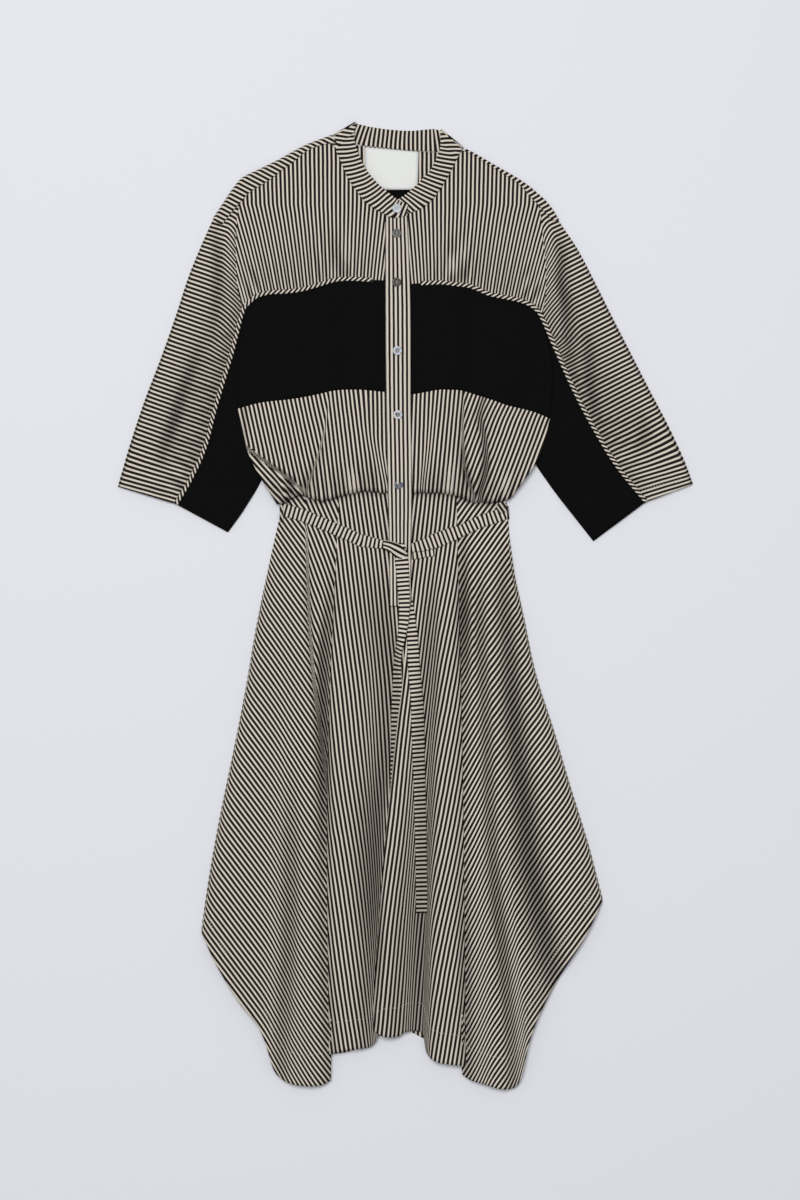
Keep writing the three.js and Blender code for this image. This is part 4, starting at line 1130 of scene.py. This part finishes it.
CREASE_LEFT = [
    (-124, 120, 0), (-122, 60, 0), (-119, -20, 0), (-114, -90, 0), (-107, -150, 0), (-97, -220, 0), (-80, -300, 0),
]
skirt_side(
    "skirt_side_left", SIDE_LEFT, EDGE_LEFT, (-1, 0.2), BACK_SEAM_LEFT, -SEAM,
    TAKEN_IN_LEFT, 127, [(CREASE_LEFT, 113.5, 2)],
)
skirt_side(
    "skirt_side_right", SIDE_RIGHT, EDGE_RIGHT, (1, 0.25), BACK_SEAM_RIGHT, SEAM,
    TAKEN_IN_RIGHT, 54, [],
)

# Skirt fronts and back
# Two front panels with nearly upright stripes stand in flat ridges above the sides. The right
# one laps over the left one down the centre, and a plain back panel lies on the surface.
SKIRT_LEFT = [
    (-82, 146, -95, -561, -8),
    (-70, 146, -82, -556.5, -6),
    (-58, 146, -68, -554, -4),
    (-46, 146, -53, -553, 0),
    (-36, 146, -43, -551, 2),
    (-26, 146, -36, -543, 5),
    (-18, 146, -32, -528, 12),
    (-8, 146, -27, -520, 20),
]
CENTRE_EDGE = [
    (-11, 146), (-8, 60), (-3, -20), (-2, -85), (-10, -150), (-18, -230), (-26, -310), (-33, -400),
    (-38.5, -480), (-39.5, -531),
]
SKIRT_RIGHT = [
    (0, 146, -25, -538, 10),
    (6, 146, -9, -538, 6),
    (14, 146, -1, -533.5, 5),
    (22, 146, 11, -531.5, 3),
    (29, 146, 22, -535, 2),
    (36, 146, 27, -558, 3),
    (44, 146, 38, -569, 3),
    (53, 146, 55, -572.5, 1),
    (64, 146, 76, -575, 2),
]
TAKEN_IN_FRONT_LEFT = [
    (-42, 40, -39, -500, 14, 0, 13),
]
TAKEN_IN_FRONT_RIGHT = [
    (14, 60, 6, -530, 13, 0, 12),
    (37, 80, 27, -535, 9, 0, 11),
]


v = shares(170)
u = shares(80)
plan = panel([fall(*row) for row in SKIRT_LEFT], u, v)
x, y = plan[:, :, 0], plan[:, :, 1]
height = HIGH + over_belt(y) + lift(x, y) * at_hem(v)
points = raised(plan, height)
widened = crowded(x, y, TAKEN_IN_FRONT_LEFT)
pattern = slanted(unfolded(points, 80, 1, widened), -82)
# Painted shade in the skirt's valleys, and a painted shadow just below the foot of the bodice.
shade = np.maximum(1 - left_over(VALLEYS, x, y), waist_shade(x, y))
front_left = cloth("skirt_front_left", points, pattern, shirting, shade)
stitched("skirt_front_left_stitches", points[1:-12, 161] + np.array([0, 0, 0.6]))


def right_front_level(x, y):
    edge = np.interp(-y, [-point[1] for point in CENTRE_EDGE], [point[0] for point in CENTRE_EDGE])
    lap = LAYER * (1 + 1 - blend(-55, -6, y)) * (1 - blend(edge + 15, edge + 34, x))
    return HIGH + lap + over_belt(y) + lift(x, y) * at_hem((146 - y) / 700)


u = shares(90)
plan = panel([CENTRE_EDGE] + [fall(*row) for row in SKIRT_RIGHT], u, v)
x, y = plan[:, :, 0], plan[:, :, 1]
points = raised(plan, right_front_level(x, y))
widened = crowded(x, y, TAKEN_IN_FRONT_RIGHT)
pattern = slanted(unfolded(points, 90, 1, widened), 83.5)
# Painted shade in the skirt's valleys, and a painted shadow just below the foot of the bodice.
shade = np.maximum(1 - left_over(VALLEYS, x, y), waist_shade(x, y))
front_right = cloth("skirt_front_right", points, pattern, shirting, shade)
stitched("skirt_front_right_stitches", points[1:, 161] + np.array([0, 0, 0.6]))

back_lines = []
for share in shares(6):
    top = np.array(BACK_SEAM_LEFT[0]) * (1 - share) + np.array(BACK_SEAM_RIGHT[0]) * share
    foot = BACK_SEAM_LEFT[-1][0] * (1 - share) + BACK_SEAM_RIGHT[-1][0] * share
    hem = -562 + 34 * math.exp(-(((foot + 8) / 42) ** 2))
    back_lines.append([tuple(top), (foot, hem)])
plan = panel(back_lines, shares(50), v)
points = raised(plan, flat_at(BACK)(plan[:, :, 0], plan[:, :, 1]))
skirt_back = cloth("skirt_back", points, plan, shirting)

# Placket
# A straight band of shirting with upright stripes, stitched on down the front from the collar
# to a little below the waist. It rises over the bloused bodice.
PLACKET = [(486, -24.5, 3), (381, -25, 7), (256, -24, 7.5), (144, -21.5, 8.5), (75, -20, 7.5), (-1, -19, 7.5)]
BODICE_DEPTH = POINTS_LEFT[0][1] - 141


def placket_level(x, y):
    v = np.clip((POINTS_LEFT[0][1] - y) / BODICE_DEPTH, 0, 1)
    return folded_at(OVER + SEAM)(x, y) + bloused(v) - LAYER * (1 - blend(118, 138, y))


v = shares(200)
left = line([(row[1], row[0]) for row in PLACKET], v)
right = line([(row[2], row[0]) for row in PLACKET], v)
plan = left[None] + (right - left)[None] * shares(14)[:, None, None]
x, y = plan[:, :, 0], plan[:, :, 1]
points = raised(plan, placket_level(x, y))
across = np.linspace(0, 32, 15)[:, None] + np.zeros(len(v))[None, :]
# Painted shade darkens the placket along both its edges.
edge = np.abs(np.linspace(-1, 1, 15))[:, None]
placket = cloth("front_placket", points, np.dstack([across, y]), taut, 0.7 * blend(0.86, 1, edge))
for side, outer, inner in (("left", 0, 1), ("right", 14, 13)):
    route = 0.65 * points[outer, 3:-3] + 0.35 * points[inner, 3:-3]
    stitched(f"placket_stitches_{side}", route + np.array([0, 0, 0.7]), 1.7, 1.1, 0.6)

# Buttons
# Six round shirt buttons of smoky mother-of-pearl look, with a raised rim, a dished middle and
# four holes that the thread passes through. The first one fastens the collar.
BUTTONS = [
    (-10, 495, (0.62, 0.66, 0.72), (0.5, 0.54, 0.6)),
    (-10.5, 464, (0.16, 0.155, 0.15), (0.07, 0.07, 0.07)),
    (-10.5, 403, (0.1, 0.085, 0.075), (0.045, 0.038, 0.034)),
    (-9.5, 317.5, (0.58, 0.62, 0.68), (0.22, 0.23, 0.25)),
    (-9, 237.5, (0.62, 0.64, 0.67), (0.1, 0.1, 0.11)),
    (-8, 150, (0.13, 0.15, 0.19), (0.05, 0.055, 0.07)),
]
PROFILE = [
    (0, 0.75), (0.34, 0.75), (0.5, 0.82), (0.64, 1.0), (0.78, 1.08), (0.9, 0.98), (0.98, 0.7),
    (1.0, 0.45), (0.96, 0.15), (0.85, 0.0), (0, 0),
]


def shell(name, colour):
    material = bpy.data.materials.new(name)
    material.use_nodes = True
    tree = material.node_tree
    shader = wired(material, Roughness=0.4, Specular_IOR_Level=0.25)
    place = tree.nodes.new("ShaderNodeTexCoord")
    cloudy = tree.nodes.new("ShaderNodeTexNoise")
    cloudy.inputs["Scale"].default_value = 320
    cloudy.inputs["Detail"].default_value = 3
    cloudy.inputs["Distortion"].default_value = 1.5
    tree.links.new(place.outputs["Object"], cloudy.inputs["Vector"])
    ramp = tree.nodes.new("ShaderNodeValToRGB")
    ramp.color_ramp.elements[0].position = 0.3
    ramp.color_ramp.elements[1].position = 0.72
    ramp.color_ramp.elements[0].color = (*[0.55 * c for c in colour], 1)
    ramp.color_ramp.elements[1].color = (*[min(1, 1.3 * c) for c in colour], 1)
    tree.links.new(cloudy.outputs["Fac"], ramp.inputs["Fac"])
    tree.links.new(ramp.outputs["Color"], shader.inputs["Base Color"])
    return material


# Each hole is a near-black disc lying on the button: painted shade standing in for the hole.
hole_shade_colour = bpy.data.materials.new("painted_hole_shade")
hole_shade_colour.use_nodes = True
wired(hole_shade_colour, Base_Color=(0.01, 0.01, 0.01, 1), Roughness=0.9, Specular_IOR_Level=0.1)

for number, (x, y, rim, middle) in enumerate(BUTTONS, 1):
    low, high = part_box(f"button_{number}")
    shape = bmesh.new()
    previous = None
    for radius, height in PROFILE:
        previous_new = shape.verts.new((radius * 0.0057, 0, low.z + height * 0.0022))
        if previous:
            shape.edges.new((previous, previous_new))
        previous = previous_new
    bmesh.ops.spin(
        shape, geom=shape.verts[:] + shape.edges[:], cent=(0, 0, 0), axis=(0, 0, 1), dvec=(0, 0, 0),
        angle=math.tau, steps=40, use_merge=True,
    )
    bmesh.ops.remove_doubles(shape, verts=shape.verts, dist=1e-6)
    bmesh.ops.recalc_face_normals(shape, faces=shape.faces)
    for face in shape.faces:
        face.smooth = True
        face.material_index = int(face.calc_center_median().xy.length < 0.0032)
    bmesh.ops.translate(shape, verts=shape.verts, vec=(x / 1000, y / 1000, 0))
    button = on_object(f"shirt_button_{number}", shape, shell(f"shell_rim_{number}", rim))
    button.data.materials.append(shell(f"shell_middle_{number}", middle))
    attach(button, "root")
    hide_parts(f"button_{number}")

    holes = bmesh.new()
    threads = bmesh.new()
    top = low.z + 0.75 * 0.0022
    for dx, dy in ((1, 1), (-1, 1), (-1, -1), (1, -1)):
        spot = Matrix.Translation((x / 1000 + dx * 0.00115, y / 1000 + dy * 0.00115, top + 0.00002))
        bmesh.ops.create_circle(holes, cap_ends=True, segments=14, radius=0.00062, matrix=spot)
    for dy in (1, -1):
        bar = Matrix.Translation((x / 1000, y / 1000 + dy * 0.00115, top + 0.0001))
        made = bmesh.ops.create_icosphere(threads, subdivisions=2, radius=1, matrix=bar)
        bmesh.ops.scale(
            threads, verts=made["verts"], vec=(0.0014, 0.00034, 0.00028), space=bar.inverted(),
        )
    bmesh.ops.recalc_face_normals(holes, faces=holes.faces)
    eyes = on_object(f"button_holes_{number}", holes, hole_shade_colour)
    sewn = on_object(f"button_thread_{number}", threads, thread)
    for piece in (eyes, sewn):
        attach(piece, "root")

# Belt
# A narrow flat belt of the same shirting with the stripes across it. Each end comes round the
# side from the back run, lies on the skirt and meets the other at the knot.
BELT_LEFT = [
    (-131, 121, -131, 105),
    (-118, 116, -118, 100),
    (-106, 111, -106, 95),
    (-93, 105.5, -93, 89.5),
    (-81, 100, -81, 84),
    (-68, 94.5, -68, 78.5),
    (-56, 89, -56, 73),
    (-46, 86, -46, 72),
    (-36, 83, -36, 71),
    (-28, 81, -28, 70.5),
    (-18, 78, -18, 68),
    (-9, 76, -9, 66),
]
BELT_RIGHT = [
    (-8.7, 75, -8.7, 66),
    (0, 75.5, 0, 66),
    (8, 76.5, 9, 66),
    (19, 81, 22, 67),
    (31, 87, 34, 69.5),
    (44, 92, 46, 73.5),
    (56, 96.5, 57, 78),
    (69, 100, 69, 84),
    (82, 106.5, 82, 90),
    (94, 112, 94, 96),
    (106, 116, 108, 100),
]


EDGED = np.array([0, 0.05, 0.1, 0.25, 0.4, 0.5, 0.6, 0.75, 0.9, 0.95, 1])


def ribbon(rows, count, down):
    upper = line([row[:2] for row in rows], shares(count))
    lower = line([row[2:] for row in rows], shares(count))
    return upper[:, None] + (lower - upper)[:, None] * down[None, :, None]


def belted(name, points, shade=0):
    """A belt piece with its stripes square to its run, and with soft pressed edges darkened by painted shade."""
    points = points.copy()
    edge = np.abs(np.linspace(-1, 1, points.shape[1]) if points.shape[1] != 11 else 2 * EDGED - 1)
    points[:, :, 2] -= np.where(points[:, :, 2] > 3, 0.8, 0) * blend(0.75, 1, edge)[None, :]
    # Painted shade darkens each edge in a narrow line.
    shade = np.maximum(shade, 0.8 * blend(0.8, 1, edge)[None, :])
    middle = points[:, points.shape[1] // 2]
    travelled = np.concatenate([[0], np.cumsum(np.linalg.norm(np.diff(middle, axis=0), axis=1))])
    run = np.gradient(middle, axis=0)
    run = run / np.linalg.norm(run, axis=1)[:, None]
    forward = ((points - middle[:, None]) * run[:, None]).sum(axis=2)
    width = np.linspace(0, 16, points.shape[1])
    pattern = np.dstack([travelled[:, None] + forward, np.broadcast_to(width, points.shape[:2])])
    piece = cloth(name, points, pattern, taut, shade)
    return piece


down = EDGED
run = ribbon(BELT_LEFT, 60, down)
x, y = run[:, :, 0], run[:, :, 1]
height = folded_at(HIGH)(x, y) + LAYER * blend(-106, -92, x) + 2 * LAYER * blend(-44, -26, x)
edge = line([(-154.5, 127), (-156, 111)], down)
bend = turned(edge, np.array([-1, 0]), flat_at(HIGH)(edge[:, 0], edge[:, 1]), np.full(11, BACK), 8)
belt_left = belted("belt_left", np.concatenate([bend[::-1], raised(run, height)]))

run = ribbon(BELT_RIGHT, 60, down)
x, y = run[:, :, 0], run[:, :, 1]
height = folded_at(HIGH)(x, y) + LAYER * (1 - blend(72, 84, x)) + LAYER * (1 - blend(38, 54, x))
height = height + LAYER * (1 - blend(10, 34, x))
edge = line([(128.5, 124), (129.5, 107)], down)
bend = turned(edge, np.array([1, 0]), flat_at(HIGH)(edge[:, 0], edge[:, 1]), np.full(11, BACK), 8)
belt_right = belted("belt_right", np.concatenate([raised(run, height), bend]))

run = ribbon([(-154.5, 127, -156.5, 111), (129.5, 124, 130.5, 107)], 40, down)
belt_back = belted("belt_back", raised(run, np.full(run.shape[:2], BACK)))

run = ribbon([(9.5, 72.5, 9, 56.5), (17, 73.5, 17, 57.5), (26, 75.5, 26, 59.5), (36, 77, 37, 61)], 20, down)
under_level = right_front_level(run[:, :, 0], run[:, :, 1]) + LAYER
belt_under = belted("belt_under", raised(run, under_level))

# Knot and tails
# The belt is tied once. A folded piece lies over the knot, and the tails hang straight down,
# the short one until it goes under the centre fold, the long one to its squared end.
KNOT = [(-27, 81, -27, 70), (-20, 80, -19, 66.5), (-12, 78, -13, 61), (-5, 75, -7, 57), (2, 70, -1, 56)]
u = shares(24)
plan = panel([[row[:2], row[2:]] for row in KNOT], u, EDGED)
height = ABOVE + LAYER + lift(plan[:, :, 0], plan[:, :, 1])
dome = np.sin(math.pi * (0.1 + 0.8 * u))[:, None] * np.sin(math.pi * (0.1 + 0.8 * EDGED))[None, :]
points = raised(plan, height + 3.5 * dome)
# Painted shade darkens the knot piece along both its edges.
edge = blend(0.8, 1, np.abs(2 * EDGED - 1))[None, :]
pattern = np.dstack([
    np.broadcast_to(14 * EDGED[None, :] + 3, height.shape), np.broadcast_to(30 * u[:, None], height.shape),
])
belt_knot = cloth("belt_knot", points, pattern, taut, 0.8 * edge)

TAIL_SHORT = [
    (-9, -1, 77), (-13, 2, 68), (-12.5, 4.5, 54), (-10.5, 5.5, 34), (-8, 6, 6), (-7.5, 5, -16), (-9, 1, -38),
    (-12.5, -4, -60), (-14.5, -5, -80), (-15.5, -3, -104), (-17, -3, -135), (-17.5, -4, -170),
    (-18, -5, -205), (-18, -6, -235),
]
TAIL_LONG = [
    (-2, 3, 62), (-1, 4.5, 40), (0, 6.5, 18), (1, 10.5, -2), (1.5, 13.5, -22), (2.5, 16.5, -46), (4, 19, -82),
    (7, 22.5, -118), (8, 24, -156), (9.5, 24.5, -194), (11, 25.5, -232), (12, 26.5, -270),
    (13, 27, -308), (13.5, 27.5, -346), (14, 27.5, -384),
]
for name, rows, count, flat_size, area in (
    ("belt_tail_short", TAIL_SHORT, 90, (0.017, 0.3), 0.005),
    ("belt_tail_long", TAIL_LONG, 130, (0.017, 0.45), 0.0066),
):
    run = ribbon([(row[0], row[2], row[1], row[2]) for row in rows], count, EDGED)
    x, y = run[:, :, 0], run[:, :, 1]
    if name == "belt_tail_short":
        height = folded_at(OVER)(x, y) + SEAM + 3.5 * LAYER * blend(-75, -40, y)
    else:
        upper = (HIGH + 3 * LAYER) * blend(-48, -14, y)
        height = np.maximum(right_front_level(x, y) + LAYER + SEAM, upper)
    # Painted shade where the tails lie in the skirt's valleys, on top of the edge shade.
    tail = belted(name, raised(run, height), 0.7 * (1 - left_over(VALLEYS, x, y)))

# Belt loops
# A narrow strip at each side seam that the belt passes under.
for name, rows, degrees, area in (
    ("belt_loop_left", [(-156.5, 125, -152, 125), (-156.5, 104, -152, 104)], 118, 0.00013),
    ("belt_loop_right", [(113.5, 123, 123, 134.5), (119, 114, 129, 117)], 125, 0.00022),
):
    run = ribbon(rows, 10, shares(4))
    x, y = run[:, :, 0], run[:, :, 1]
    pattern = np.dstack([straight(x, y, degrees), y])
    # Painted shade darkens each loop evenly all over.
    loop = cloth(name, raised(run, folded_at(OVER)(x, y)), pattern, shirting, 0.3)
